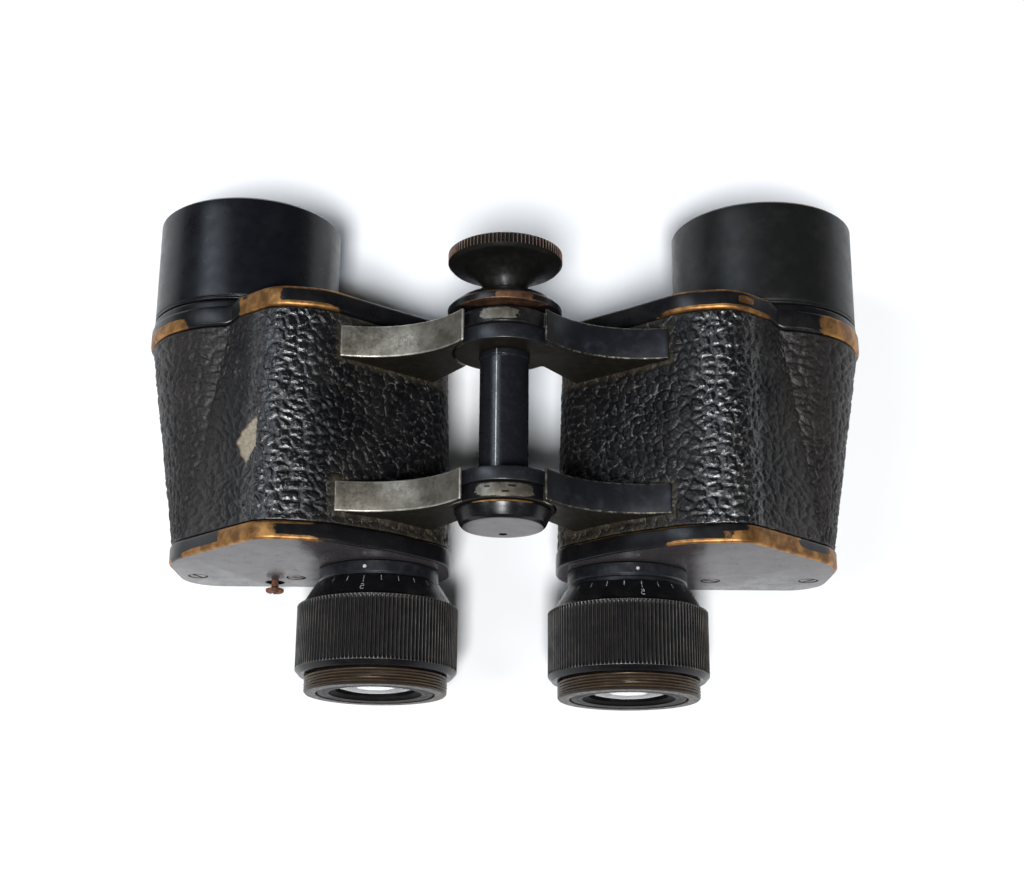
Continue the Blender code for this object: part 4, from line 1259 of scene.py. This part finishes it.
def dress_loose_screw():
    """The rusty screw that has backed out of the left eyepiece plate."""
    x, z = axis("left_loose_plate_screw")
    screw = slotted_screw("left_loose_slotted_screw", x, z, low("left_loose_plate_screw"), 1, 1.1)
    dress(screw, "left_half", "rusty_steel", RUST, "left_loose_plate_screw")


def dress_cad_nodes():
    """Procedural materials for the inner nodes that keep their CAD shape."""
    kept = {"prism": GLASS, "field_lens": GLASS, "prism_clip": PRISM_STEEL,
            "hinge_axle": PRISM_STEEL, "friction_washer": DARK_BRASS}
    for node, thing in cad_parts.items():
        for ending, look in kept.items():
            if node.endswith(ending):
                thing.data.materials.clear()
                thing.data.materials.append(look)


# ---- camera, floor and light

CAMERA_PLACE = (1.88, -118.54, 413.56)
CAMERA_TILT = 17.4                  # degrees from straight down
CAMERA_ROLL = 0.45
LENS = 59.06
FLOOR_HALF = 1500


def look_down():
    """The camera, above the eyepieces, looking down and a little forward."""
    tilt, roll = math.radians(CAMERA_TILT), math.radians(CAMERA_ROLL)
    right = Vector((1, 0, 0))
    up = Vector((0, math.cos(tilt), math.sin(tilt)))
    rotation = Matrix((right * math.cos(roll) + up * math.sin(roll),
                       up * math.cos(roll) - right * math.sin(roll),
                       right.cross(up))).transposed()
    camera = add_to_scene("camera", bpy.data.cameras.new("camera"))
    camera.data.lens = LENS
    camera.data.sensor_width = 36
    camera.data.clip_start = 0.01
    camera.matrix_world = Matrix.Translation(Vector(CAMERA_PLACE) * MM) @ rotation.to_4x4()
    bpy.context.scene.camera = camera


def area_light(name, direction, distance, size, power, colour):
    light = bpy.data.lights.new(name, "AREA")
    light.shape = "RECTANGLE"
    light.size, light.size_y = size
    light.energy = power
    light.color = colour
    thing = add_to_scene(name, light)
    direction = Vector(direction).normalized()
    thing.location = direction * distance
    thing.rotation_euler = direction.to_track_quat("Z", "Y").to_euler()


def studio():
    """A pale floor under soft light, and a sky that is brighter at its rim."""
    look = Look("pale_floor", Roughness=0.9)
    look.put("Base Color", look.mix(look.noise(60, 3), (0.90, 0.90, 0.90), (0.88, 0.88, 0.885)))
    corners = [(x * FLOOR_HALF, y * FLOOR_HALF, 0) for x, y in ((-1, -1), (1, -1), (1, 1), (-1, 1))]
    floor = new_piece("floor", corners, [[0, 1, 2, 3]])
    floor.data.materials.append(look.material)
    area_light("key", (-0.04, -0.44, 0.90), 2.4, (0.50, 0.50), 66.0, (0.97, 0.985, 1.0))
    area_light("left_fill", (-0.58, 0.30, 0.76), 2.0, (0.50, 1.1), 9.0, (0.78, 0.88, 1.0))
    area_light("left_side", (-0.62, -0.32, 0.70), 2.0, (0.4, 0.4), 5.0, (0.92, 0.96, 1.0))
    area_light("right_side", (0.62, -0.32, 0.70), 2.0, (0.4, 0.4), 4.0, (0.92, 0.96, 1.0))
    world = bpy.data.worlds.new("studio")
    world.use_nodes = True
    nodes, link = world.node_tree.nodes, world.node_tree.links.new
    split = nodes.new("ShaderNodeSeparateXYZ")
    link(nodes.new("ShaderNodeTexCoord").outputs["Generated"], split.inputs[0])
    fade = nodes.new("ShaderNodeMapRange")
    fade.interpolation_type = "SMOOTHSTEP"
    for key, value in {"From Min": 0.0, "From Max": 0.9, "To Min": 0.60, "To Max": 0.30}.items():
        fade.inputs[key].default_value = value
    link(split.outputs["Z"], fade.inputs["Value"])
    link(fade.outputs["Result"], nodes["Background"].inputs["Strength"])
    bpy.context.scene.world = world
    bpy.context.scene.view_settings.view_transform = "Standard"


look_down()
studio()
for half in SIDES:
    dress_half(half)
dress_loose_screw()
dress_hinge()
dress_cad_nodes()
